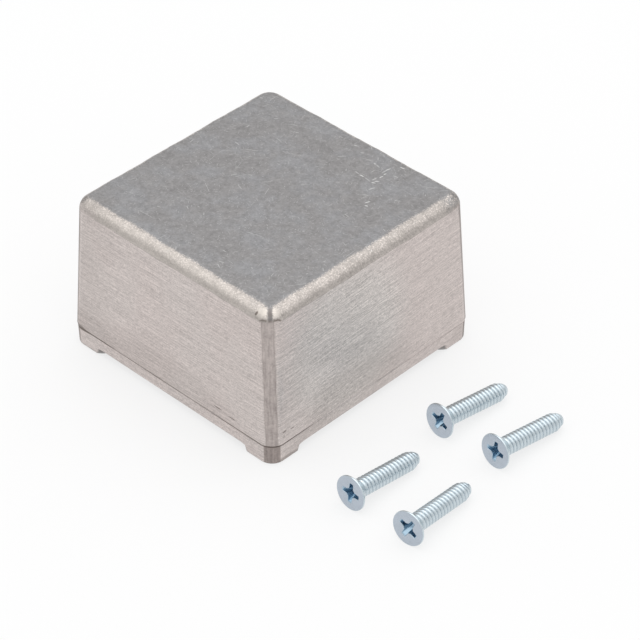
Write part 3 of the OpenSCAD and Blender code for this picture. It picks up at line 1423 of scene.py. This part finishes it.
@dataclass
class Lid:
    """Cast lid: a plate on four corner pads with countersunk holes, and a lip that locates the shell.

    Attributes:
        case: the shared sizes.
        seam: the joint.
        foot_h: height of the feet.
        draft: lean of the sides, in degrees.
        corner_r: radius of the corners, at the floor.
        top_edge_r, under_r: radius of the plate's upper edge, and of its lower edge between the feet.
        under_run: length over which the lower edge's radius runs out towards a foot.
        fade: width over which the edges' marks end on the flat faces.
        foot_rim: metal round the countersink in a foot.
        foot_draft: lean of a foot's round end, in degrees.
        foot_edge_r: radius of a foot's lower edge.
        band, band_soft: width of the band that keeps the cast skin at a corner, and half the width of its
            borders, as an angle.
        under_shade, foot_shade, round_shade: how dark the painted shade is on the plate's lower edge, the
        feet's lower edges and their round ends.
        middle, foot, arcs, boss: points along a side between the feet, along a foot, round a corner and round
            a foot's end.
        edge_rows, side_rows: rows of the plate's edges and of its sides.
        foot_rows, foot_edge_rows: rows of a foot's side and of its lower edge.
        lip_flats, lip_arcs, plate_rings: points along the lip and round a boss, rings of the plate inside it.
    """

    case: CaseFrame
    seam: Seam
    foot_h: float = 1.4
    draft: float = 1.5
    corner_r: float = 2.7
    top_edge_r: float = 0.3
    under_r: float = 0.25
    under_run: float = 1.2
    fade: float = 0.1
    foot_rim: float = 1.15
    foot_draft: float = 12.0
    foot_edge_r: float = 0.35
    band: float = 2.75
    band_soft: float = 0.03
    under_shade: float = 0.6
    foot_shade: float = 0.8
    round_shade: float = 0.5
    sink_r: float = 3.3
    lip_gap: float = 0.25
    lip_t: float = 1.4
    lip_edge: float = 0.2
    middle: int = 36
    foot: int = 10
    arcs: int = 28
    boss: int = 40
    edge_rows: int = 6
    side_rows: int = 6
    foot_rows: int = 5
    foot_edge_rows: int = 7
    lip_flats: int = 12
    lip_arcs: int = 24
    plate_rings: int = 6

    def half_at(self, height: Array) -> Array:
        """Half width of the sides: it falls from the joint downwards by the draft's tangent."""
        return self.case.lid_half - (self.case.joint - height) * slope(self.draft)

    @property
    def core(self) -> float:
        """Distance of the corners' arc centres from the middle."""
        return self.half_at(0.0) - self.corner_r

    def boss_radius(self, height: Array) -> Array:
        """Radius of a foot's round end: it grows upwards by the tangent of its draft."""
        return self.sink_r + self.foot_rim + height * slope(self.foot_draft)

    def foot_start(self, half: Array, radius: Array) -> Array:
        """How far along a side a foot's round end crosses it."""
        return self.case.axis - np.sqrt(radius**2 - (half - self.case.axis) ** 2)

    def foot_side(self, half: Array, start: Array) -> Array:
        """The outer side of a foot: along one side, round the corner's arc and along the next side.

        Args:
            half: half width of the sides, one for each level.
            start: where along a side the foot begins, one for each level.

        Returns:
            Points, as levels x outline x 2.
        """
        half, start = half[:, None], start[:, None]
        first = start + (self.core - start) * np.arange(self.foot) / self.foot
        last = self.core + (start - self.core) * np.arange(self.foot + 1) / self.foot
        turn = RIGHT_ANGLE * np.arange(self.arcs) / self.arcs
        arc = self.core + (half - self.core)[..., None] * rays(turn)
        sides = np.stack([half + 0 * first, first], -1), np.stack([last, half + 0 * last], -1)
        return np.concatenate([sides[0], arc, sides[1]], -2)

    def foot_loop(self, height: Array, inset: Array) -> Array:
        """A foot's whole outline: its outer side, then its round end.

        Args:
            height: height of each level.
            inset: how far each level is drawn in.

        Returns:
            Points, as levels x outline x 2.
        """
        half = self.half_at(np.maximum(height, self.foot_edge_r)) - inset
        radius = self.boss_radius(np.maximum(height, self.foot_edge_r)) - inset
        start = self.foot_start(half, radius)
        outer = self.foot_side(half, start)
        axis = self.case.axis
        begin = np.arctan2(half - axis, start - axis)[:, None]
        turn = begin + (3 * RIGHT_ANGLE + 2 * (RIGHT_ANGLE - begin)) * np.arange(1, self.boss) / self.boss
        round_end = axis + radius[:, None, None] * rays(turn)
        return np.concatenate([outer, round_end], -2)

    def sanded_foot(self) -> Array:
        """How far the outer side of a foot is sanded: all of it but a band in the middle of the corner.

        Returns:
            From 0 to 1, for each point of the outer side.
        """
        turn = RIGHT_ANGLE * np.arange(self.arcs) / self.arcs - RIGHT_ANGLE / 2
        band = math.asin(self.band / 2 / self.corner_r)
        arc = eased(np.abs(turn), band - self.band_soft, band + self.band_soft)
        return np.r_[np.ones(self.foot), arc, np.ones(self.foot + 1)]

    def sides(self, skin: Skin) -> tuple[Array, Array]:
        """Adds the sides over the feet's height, with both edges rounded.

        The lower edge is rounded between the feet, and its radius runs out towards them.

        Args:
            skin: where they go.

        Returns:
            The loop of the top's outer edge, and the points of one side's lower edge, both as points x 2.
        """
        plate, joint = self.foot_h, self.case.joint
        start = self.foot_start(self.half_at(plate), self.boss_radius(plate))
        share = 2 * np.arange(self.middle) / self.middle - 1
        along = start * share
        radius = self.under_r * eased(start - np.abs(along), 0.0, self.under_run)
        turn = np.linspace(0.0, RIGHT_ANGLE, self.edge_rows)
        under_h, under_in = plate + np.outer(1 - np.cos(turn), radius), np.outer(1 - np.sin(turn), radius)
        upper = np.linspace(plate + self.under_r, joint - self.top_edge_r, self.side_rows)[1:]
        over = turn[1:]
        upper_h = np.r_[upper, joint - self.top_edge_r * (1 - np.sin(over)), joint]
        upper_in = np.r_[0 * upper, self.top_edge_r * (1 - np.cos(over)), self.top_edge_r + self.fade]
        mid_h = np.concatenate([under_h, np.repeat(upper_h[:, None], self.middle, 1)])
        mid_in = np.concatenate([under_in, np.repeat(upper_in[:, None], self.middle, 1)])
        middle = np.stack([self.half_at(mid_h) - mid_in, along + 0 * mid_h, mid_h], -1)
        rows = len(turn)
        foot_h, foot_in = np.r_[np.full(rows, plate), upper_h], np.r_[np.zeros(rows), upper_in]
        outer = self.foot_side(self.half_at(foot_h) - foot_in, np.full(len(foot_h), start))[:, :-1]
        grid = turned(np.concatenate([middle, raised(outer, foot_h)], 1))

        columns = outer.shape[1]
        seam = self.seam.into(foot_in, self.top_edge_r)
        seam[-1] = 0.0
        dark = [
            np.r_[self.seam.along(share, quarter), np.full(columns, self.seam.corners[quarter])]
            for quarter in range(4)
        ]
        crease = np.outer(seam, np.concatenate(dark))
        lower = np.tile(np.r_[radius / self.under_r, np.zeros(columns)], 4)
        # Painted shade along the plate's lower edge
        crease[:rows] = self.under_shade * np.outer(np.cos(turn), lower)
        sanded = np.tile(np.r_[np.ones(self.middle), self.sanded_foot()[:-1]], 4)
        skin.grid(grid, np.stack([sanded + 0 * crease, 0 * crease, crease], -1))
        return grid[-1, :, :2], middle[0, :, :2]

    def feet(self, skin: Skin) -> tuple[list[Array], Array]:
        """Adds the feet with their countersunk holes.

        Rings run down a foot's side, round its lower edge, in to the countersink and up through the hole.

        Args:
            skin: where they go.

        Returns:
            The loops of the holes in the top face, and the points of a foot's round end under the plate.
        """
        case = self.case
        turn = np.linspace(0.0, RIGHT_ANGLE, self.foot_edge_rows)
        wall = np.linspace(self.foot_h, self.foot_edge_r, self.foot_rows)[:-1]
        height = np.r_[wall, self.foot_edge_r * (1 - np.sin(turn))]
        outline = self.foot_loop(height, np.r_[0 * wall, self.foot_edge_r * (1 - np.cos(turn))])
        away = outline[-1] - case.axis
        angle = np.arctan2(away[:, 1], away[:, 0])
        cone = case.head_rim + (self.sink_r - case.hole_r) / slope(case.head_angle / 2)
        hole_h = np.r_[0.0, case.head_rim, cone, case.joint]
        hole_r = np.r_[self.sink_r, self.sink_r, case.hole_r, case.hole_r]
        rings = np.concatenate([raised(outline, height), raised(circle(hole_r, angle) + case.axis, hole_h)])
        sanded = np.r_[self.sanded_foot(), np.zeros(self.boss - 1)]
        marks = np.zeros(rings.shape)
        marks[..., 0] = np.outer(np.r_[0 * wall + 1, np.cos(turn) ** 2, 0 * hole_h], sanded)
        # Painted shade on the feet's lower edges and round ends
        marks[..., 2] = np.r_[0 * wall, self.foot_shade * np.sqrt(np.sin(turn)), 0 * hole_h][:, None]
        marks[: len(wall), -self.boss + 1 :, 2] = self.round_shade
        loops = []
        for quarter in range(4):
            there = about_z(rings, quarter)
            skin.grid(there, marks)
            loops.append(there[-1, :, :2])
        return loops, np.concatenate([outline[0, 2 * self.foot + self.arcs :], outline[0, :1]])

    def underside(self, skin: Skin, edge: Array, round_end: Array) -> None:
        """Adds the flat underside between the feet, with a narrow ring over which the edges' marks fade.

        Args:
            skin: where it goes.
            edge: points of one side's lower edge.
            round_end: points of a foot's round end, from the next side back to this one.
        """
        loop = turned(np.concatenate([edge, round_end[:0:-1]]))
        half = self.half_at(self.foot_h) - self.under_r - self.fade
        radius = self.boss_radius(self.foot_h) + self.fade
        inner = notched_square(half, self.case.axis, radius, self.middle, self.arcs)
        skin.web([loop, inner], self.foot_h)
        skin.web([inner], self.foot_h)

    def lip(self, skin: Skin) -> Array:
        """Adds the lip and the plate inside it: notched squares up its outside, over its top and down inside.

        Args:
            skin: where it goes.

        Returns:
            The loop of the lip's outer foot, as points x 2.
        """
        case = self.case
        half = case.half_at(case.lip_top) - case.wall - self.lip_gap
        notch = case.boss_r + self.lip_gap
        inset = np.array([0.0, 0.0, self.lip_edge, self.lip_t - self.lip_edge, self.lip_t, self.lip_t])
        shoulder = case.lip_top - self.lip_edge
        height = np.array([case.joint, shoulder, case.lip_top, case.lip_top, shoulder, case.joint])
        outline = notched_square(half - inset, case.axis, notch + inset, self.lip_flats, self.lip_arcs)
        skin.capped(raised(outline, height), self.plate_rings)
        return outline[0]

    def build(self, finish: CastFinish) -> bpy.types.Object:
        """Builds and dresses the lid.

        Args:
            finish: its finish.

        Returns:
            The piece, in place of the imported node.
        """
        skin = Skin()
        top_edge, lower_edge = self.sides(skin)
        holes, round_end = self.feet(skin)
        self.underside(skin, lower_edge, round_end)
        skin.web([top_edge, self.lip(skin), *holes], self.case.joint)
        return skin.build("cast_lid", finish.material())


@dataclass(frozen=True)
class ScrewPlace:
    """Where a loose screw lies.

    Attributes:
        from_side: distance of its head from the shell's side.
        along: place of its head along Y.
        direction: its direction on the floor, in degrees.
        turn: turn of its recess, in degrees.
    """

    from_side: float
    along: float
    direction: float
    turn: float


@dataclass
class LidScrew:
    """Countersunk screw with a cross recess, a thread up to its head and a tapered tip.

    Attributes:
        case: the shared sizes.
        length: length with the head.
        thread_r, root_r: radius of the thread's crest and root.
        least_thread: least height of the thread, in the tip.
        thread_from: where under the head the thread begins and is whole.
        head_edge, head_bevel: rounding of the head's face, and the share of it at which its bevel turns.
        face_rings: where the head's face has rings, as shares of the way from the recess to the rim.
        recess_arm, recess_half, recess_core: reach and half width of the recess's arms, radius of its middle.
        recess_taper: share of their width that the arms lose outwards.
        arm_draft, core_draft: share of their size that arms and middle lose towards the floor.
        core_limit: largest share of the arms' reach that the middle's radius may have.
        recess_floor: reach of the arms at the floor.
        recess_point: height of the pointed floor.
        recess_edge: width of the chamfer round the recess.
        recess_mark, groove_mark: how strongly recess and groove are marked; the groove's mark is painted
            shade.
        arm_points, recess_rows: points along a side of an arm, and rows of the recess.
        rows_per_turn: rows in one turn of the thread.
    """

    case: CaseFrame
    length: float = 15.8
    thread_r: float = 1.7
    root_r: float = 1.44
    least_thread: float = 0.15
    thread_from: Span = (-0.2, 0.5)
    head_r: float = 3.2
    head_edge: float = 0.09
    head_bevel: float = 0.3
    face_rings: Three = (0.35, 0.7, 1.0)
    tip_l: float = 1.9
    tip_r: float = 1.15
    tip_chamfer: float = 0.3
    recess_arm: float = 1.9
    recess_half: float = 0.46
    recess_core: float = 0.95
    recess_taper: float = 0.2
    arm_draft: float = 0.35
    core_draft: float = 0.45
    core_limit: float = 0.98
    recess_depth: float = 1.9
    recess_floor: float = 0.5
    recess_point: float = 0.25
    recess_edge: float = 0.1
    recess_mark: float = 0.8
    groove_mark: float = 0.65
    arm_points: int = 5
    recess_rows: int = 8
    rows_per_turn: int = 14

    def cross(self, arm: Array, half: Array, core: Array) -> Array:
        """Outline of the recess: four arms that narrow outwards, joined by arcs of a round middle.

        A quarter runs from the middle of an arm's end to its corner, in along its side, round the middle's
        arc and out along the next arm.

        Args:
            arm: reach of the arms, one for each level.
            half: half width of the arms where they leave the middle.
            core: radius of the middle.

        Returns:
            Points, as levels x outline x 2.
        """
        arm, half, core = (np.asarray(size, float)[:, None] for size in (arm, half, core))
        lean = np.arcsin(half / core)
        foot = core * np.cos(lean)
        tip = half * (1 - self.recess_taper)
        ends = np.array([0.0, 0.5])
        sides = np.arange(self.arm_points) / self.arm_points
        turn = lean + (RIGHT_ANGLE - 2 * lean) * ends
        inward, outward = tip + (half - tip) * sides, half + (tip - half) * sides
        x = [arm + 0 * ends, arm + (foot - arm) * sides, core * np.cos(turn), outward, tip * (1 - ends)]
        y = [tip * ends, inward, core * np.sin(turn), foot + (arm - foot) * sides, arm + 0 * ends]
        return turned(np.stack([np.concatenate(x, -1), np.concatenate(y, -1)], -1))

    def recess(self) -> Array:
        """Makes the recess: a cross whose arms run in and narrow as it deepens, down to a pointed floor.

        Returns:
            Points from the floor up to the head's face, as rings x columns x 3.
        """
        walls = np.linspace(self.recess_depth, self.recess_edge, self.recess_rows)
        depth = np.r_[self.recess_depth, walls, 0.0]
        share = depth / self.recess_depth
        arm = self.recess_arm + (self.recess_floor - self.recess_arm) * share
        half = self.recess_half * (1 - self.arm_draft * share)
        core = np.minimum(self.recess_core * (1 - self.core_draft * share), arm * self.core_limit)
        for size in (arm, half, core):
            size[-1] += self.recess_edge
        rings = raised(self.cross(arm, half, core), depth)
        rings[0] = [0.0, 0.0, self.recess_depth + self.recess_point]
        return rings

    def shank(self, angle: Array) -> tuple[Array, Array]:
        """Rings of the threaded shank, from under the head to the tip's end.

        The radius is the root's plus the thread's height times its wave, along a right-hand helix. Both taper
        over the tip's length.

        Args:
            angle: angles of the columns.

        Returns:
            Points, as rings x columns x 3, and how deep each lies in the groove, from 0 to 1.
        """
        case = self.case
        head_h = case.head_rim + (self.head_r - self.thread_r) / slope(case.head_angle / 2)
        end = self.length - self.tip_chamfer
        rows = int((end - head_h) / case.pitch * self.rows_per_turn)
        height = np.linspace(head_h, end, rows)[:, None]
        taper = np.clip((height - (self.length - self.tip_l)) / (end - self.length + self.tip_l), 0.0, 1.0)
        crest = self.thread_r + (self.tip_r - self.thread_r) * taper
        root = np.minimum(self.root_r, crest - self.least_thread)
        begun = eased(height - head_h, *self.thread_from)
        wave = 1 - begun * (1 - thread_wave(height / case.pitch - angle / FULL_TURN))
        radius = root + (crest - root) * wave
        return raised(radius[..., None] * rays(angle), height[:, 0]), 1 - wave

    def surface(self) -> tuple[Array, Array]:
        """The whole screw as one grid, from the bottom of its recess over the head to the tip.

        Returns:
            Points, as rings x columns x 3, and the marks of face, groove and recess.
        """
        recess = self.recess()
        columns = recess.shape[1]
        angle = FULL_TURN * np.arange(columns) / columns
        rim = circle(self.head_r - self.head_edge, angle)
        share = np.array(self.face_rings)[:, None, None]
        face = raised(recess[-1, :, :2] * (1 - share) + rim * share, np.zeros(len(share)))
        bevel = self.head_bevel * self.head_edge
        head_r = np.array([self.head_r - bevel, self.head_r, self.head_r])
        head = raised(circle(head_r, angle), np.array([bevel, self.head_edge, self.case.head_rim]))
        shank, depth = self.shank(angle)
        tip_r = np.array([self.tip_r - self.tip_chamfer, 0.0])
        tip = raised(circle(tip_r, angle), np.full(2, self.length))
        points = np.concatenate([recess, face, head, shank, tip])
        marks = np.zeros(points.shape)
        brim = len(recess) - 1
        flat = len(recess) + len(face)
        first = flat + len(head)
        marks[brim:flat, :, 0] = 1.0
        marks[first : first + len(shank), :, 1] = self.groove_mark * depth
        marks[:brim, :, 2] = self.recess_mark
        return points, marks

    def place(self, spot: ScrewPlace) -> Matrix:
        """Lays a screw on its head's rim and on its thread, so that its axis slopes to the tip.

        Args:
            spot: where it lies.

        Returns:
            The way from the screw's own frame to the case's, in millimetres.
        """
        rest = self.length - self.tip_l - self.case.head_rim
        sinking = math.atan((self.head_r - self.thread_r) / rest)
        return (
            Matrix.Translation((self.case.shell_half + spot.from_side, spot.along, 0.0))
            @ Matrix.Rotation(math.radians(spot.direction), 4, "Z")
            @ Matrix.Rotation(sinking, 4, "Y")
            @ Matrix.Translation((-self.case.head_rim, 0.0, self.head_r))
            @ Matrix.Rotation(RIGHT_ANGLE, 4, "Y")
            @ Matrix.Rotation(math.radians(spot.turn), 4, "Z")
        )

    def build(self, name: str, spot: ScrewPlace, material: bpy.types.Material) -> bpy.types.Object:
        """Builds and dresses one screw.

        Args:
            name: its name.
            spot: where it lies.
            material: its finish.

        Returns:
            The piece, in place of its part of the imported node.
        """
        skin = Skin()
        skin.grid(*self.surface())
        return skin.build(name, material, self.place(spot))


@dataclass(frozen=True)
class LooseScrews:
    """Two rows of screws on the table, each a little out of line.

    Attributes:
        near: distance of the nearest head from the shell's side.
        column_space: space between the two screws of a row.
        row_shift: how much further out the first row lies.
        stray: how far a screw strays from its row.
        first_row: place of the first row's heads along Y.
        row_space: space between the tips of the first row and the heads of the second.
        directions: where each screw points on the table, in degrees.
        turns: how far each has rolled about its own axis, in degrees.
    """

    near: float = 14.2
    column_space: float = 12.0
    row_shift: float = 1.7
    stray: float = 0.7
    first_row: float = -23.0
    row_space: float = 8.0
    directions: Four = (88.3, 93.4, 85.6, 86.0)
    turns: Four = (0.0, 27.0, 0.0, 18.0)

    def places(self, length: float) -> tuple[ScrewPlace, ...]:
        """Lays out the two rows.

        Args:
            length: length of a screw.

        Returns:
            Where each screw lies.
        """
        second_row = self.first_row + length + self.row_space
        far, shifted = self.near + self.column_space, self.near + self.row_shift
        heads = (
            (shifted, self.first_row),
            (far + self.row_shift + self.stray, self.first_row + self.stray / 2),
            (far, second_row + self.stray),
            (self.near, second_row),
        )
        lies = zip(heads, self.directions, self.turns)
        return tuple(ScrewPlace(*head, direction, turn) for head, direction, turn in lies)


# Studio


def heading(azimuth: float, elevation: float) -> Vector:
    """Direction from the origin: azimuth 0 is towards -Y and 90 towards +X, elevation is above the floor."""
    turn, rise = math.radians(azimuth), math.radians(elevation)
    return Vector((math.sin(turn) * math.cos(rise), -math.cos(turn) * math.cos(rise), math.sin(rise)))


@dataclass(frozen=True)
class Softbox:
    """A square lamp that faces the origin. Distance and size are in metres."""

    name: str
    azimuth: float
    elevation: float
    distance: float
    size: float
    watts: float

    def light(self) -> None:
        """Puts the lamp up."""
        lamp = bpy.data.lights.new(self.name, "AREA")
        lamp.size = self.size
        lamp.energy = self.watts
        holder = bpy.data.objects.new(self.name, lamp)
        back = heading(self.azimuth, self.elevation)
        holder.location = back * self.distance
        holder.rotation_euler = back.to_track_quat("Z", "Y").to_euler()
        holder.visible_camera = False
        bpy.context.scene.collection.objects.link(holder)


@dataclass
class Studio:
    """White table, soft light and the camera at the photograph's view.

    Attributes:
        azimuth, elevation, roll: the camera's direction and roll, in degrees.
        distance: its distance from the origin.
        aside, above: how far it stands to the right and above of that.
        lens, sensor: its focal length and the width of its sensor.
        table_rings: radii of the table's rings.
        table_z: height of the table, just under the object.
        table_white, table_rough: the table's colour and roughness.
        table_glow: how far the table is seen as white.
        low_sky, high_sky: the room's light, beside and overhead.
        sky_edge: heights of the direction between which it changes.
        softbox: the one lamp.
    """

    azimuth: float = 44.182
    elevation: float = 38.927
    roll: float = 0.11
    distance: float = 510.92
    aside: float = 8.6
    above: float = 2.9
    lens: float = 160.863
    sensor: float = 36.0
    table_rings: Four = (6000.0, 600.0, 120.0, 0.0)
    table_sides: int = 96
    table_z: float = -0.01
    table_white: float = 0.8
    table_rough: float = 0.9
    table_glow: float = 0.72
    low_sky: float = 0.85
    high_sky: float = 1.55
    sky_edge: Span = (0.55, 0.9)
    softbox: Softbox = Softbox(
        "overhead_softbox", azimuth=224.0, elevation=74.0, distance=0.9, size=0.45, watts=0.5
    )

    def camera(self) -> None:
        """Sets the camera: it looks back along its heading, is rolled a little and stands aside."""
        back = heading(self.azimuth, self.elevation)
        level = Vector((math.cos(math.radians(self.azimuth)), math.sin(math.radians(self.azimuth)), 0.0))
        upright = back.cross(level)
        roll = math.radians(self.roll)
        right = level * math.cos(roll) - upright * math.sin(roll)
        up = level * math.sin(roll) + upright * math.cos(roll)
        seat = (back * self.distance + right * self.aside + up * self.above) * MM
        data = bpy.data.cameras.new("photo_view")
        data.lens = self.lens
        data.sensor_width = self.sensor
        holder = bpy.data.objects.new("photo_view", data)
        holder.matrix_world = Matrix.Translation(seat) @ Matrix((right, up, back)).transposed().to_4x4()
        bpy.context.scene.collection.objects.link(holder)
        bpy.context.scene.camera = holder

    def seen(self, tree: Tree) -> Value:
        """1 for rays from the camera, from a mirror or through glass, and 0 for light that is scattered."""
        rays = ("Is Camera Ray", "Is Glossy Ray", "Is Transmission Ray")
        return reduce(Value.larger, [Value.node(tree, "ShaderNodeLightPath", {}, {}, ray) for ray in rays])

    def table(self) -> None:
        """Lays the table: a disc just under the object that takes its shadow and is seen as white."""
        angle = FULL_TURN * np.arange(self.table_sides) / self.table_sides
        skin = Skin()
        skin.grid(raised(circle(self.table_rings, angle), np.full(len(self.table_rings), self.table_z)))
        material, tree, shader = blank_material("white_table")
        shader.inputs["Base Color"].default_value = opaque((self.table_white,) * 3)
        shader.inputs["Roughness"].default_value = self.table_rough
        shader.inputs["Specular IOR Level"].default_value = 0.0
        glow = Value.node(tree, "ShaderNodeEmission", {}, {"Strength": 1.0})
        shaders = {0: self.seen(tree) * self.table_glow, 1: Value(tree, shader.outputs[0]), 2: glow}
        mix = Value.node(tree, "ShaderNodeMixShader", {}, shaders)
        tree.links.new(mix.socket, tree.nodes["Material Output"].inputs["Surface"])
        table = skin.build("table", material)

    def sky(self) -> None:
        """Lights the room as a tent does, brighter overhead than beside, and lets the camera see white."""
        world = bpy.data.worlds.new("studio")
        world.use_nodes = True
        tree = world.node_tree
        way = Value.node(tree, "ShaderNodeTexCoord", {}, {}, "Generated")
        tent = way.part(2).step(*self.sky_edge) * (self.high_sky - self.low_sky) + self.low_sky
        seen = Value.node(tree, "ShaderNodeLightPath", {}, {}, "Is Camera Ray")
        inputs = {"Color": opaque((1.0, 1.0, 1.0)), "Strength": tent + seen * (1.0 - tent)}
        light = Value.node(tree, "ShaderNodeBackground", {}, inputs)
        tree.links.new(light.socket, tree.nodes["World Output"].inputs["Surface"])
        bpy.context.scene.world = world

    def build(self) -> None:
        """Sets up the camera, table, room and lamp."""
        bpy.context.scene.view_settings.view_transform = "Standard"
        self.camera()
        self.table()
        self.sky()
        self.softbox.light()


def settle(piece: bpy.types.Object, body: str, node: str) -> None:
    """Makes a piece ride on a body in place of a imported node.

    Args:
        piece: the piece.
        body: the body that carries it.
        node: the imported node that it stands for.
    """
    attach(piece, body)
    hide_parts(node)
    LOG.info("%s: %d faces on %s", piece.name, len(piece.data.polygons), body)


def main() -> None:
    """Builds the studio and the pieces in order."""
    logging.basicConfig(level=logging.INFO, format="%(name)s: %(message)s")
    Studio().build()
    case = CaseFrame.read()
    seam = Seam()
    shell = Shell(case, ShellWearAndShade(seam))
    scored_from = case.top - shell.scored_depth
    dark_spots = (*NICKS, *SHELL_SHADE_AND_DARKENING)
    shell_finish = CastFinish("tumbled_and_sanded", scored_from, TOP_SCORES, EDGE_HIGHLIGHTS, dark_spots)
    settle(shell.build(shell_finish), Body.COVER.value, "shell")
    lid_finish = CastFinish("lid_tumbled_and_sanded", case.top, nicks_and_shade=LID_SHADE_AND_DARKENING, flank=LID_FLANK)
    settle(Lid(case, seam).build(lid_finish), Body.BASE.value, "lid")
    zinc = ZincFinish("bright_zinc").material()
    screw = LidScrew(case)
    for number, spot in enumerate(LooseScrews().places(screw.length), 1):
        piece = screw.build(f"lid_screw_{number}", spot, zinc)
        settle(piece, Body.BASE.value, "lid_screws")


if __name__ == "__main__":
    main()
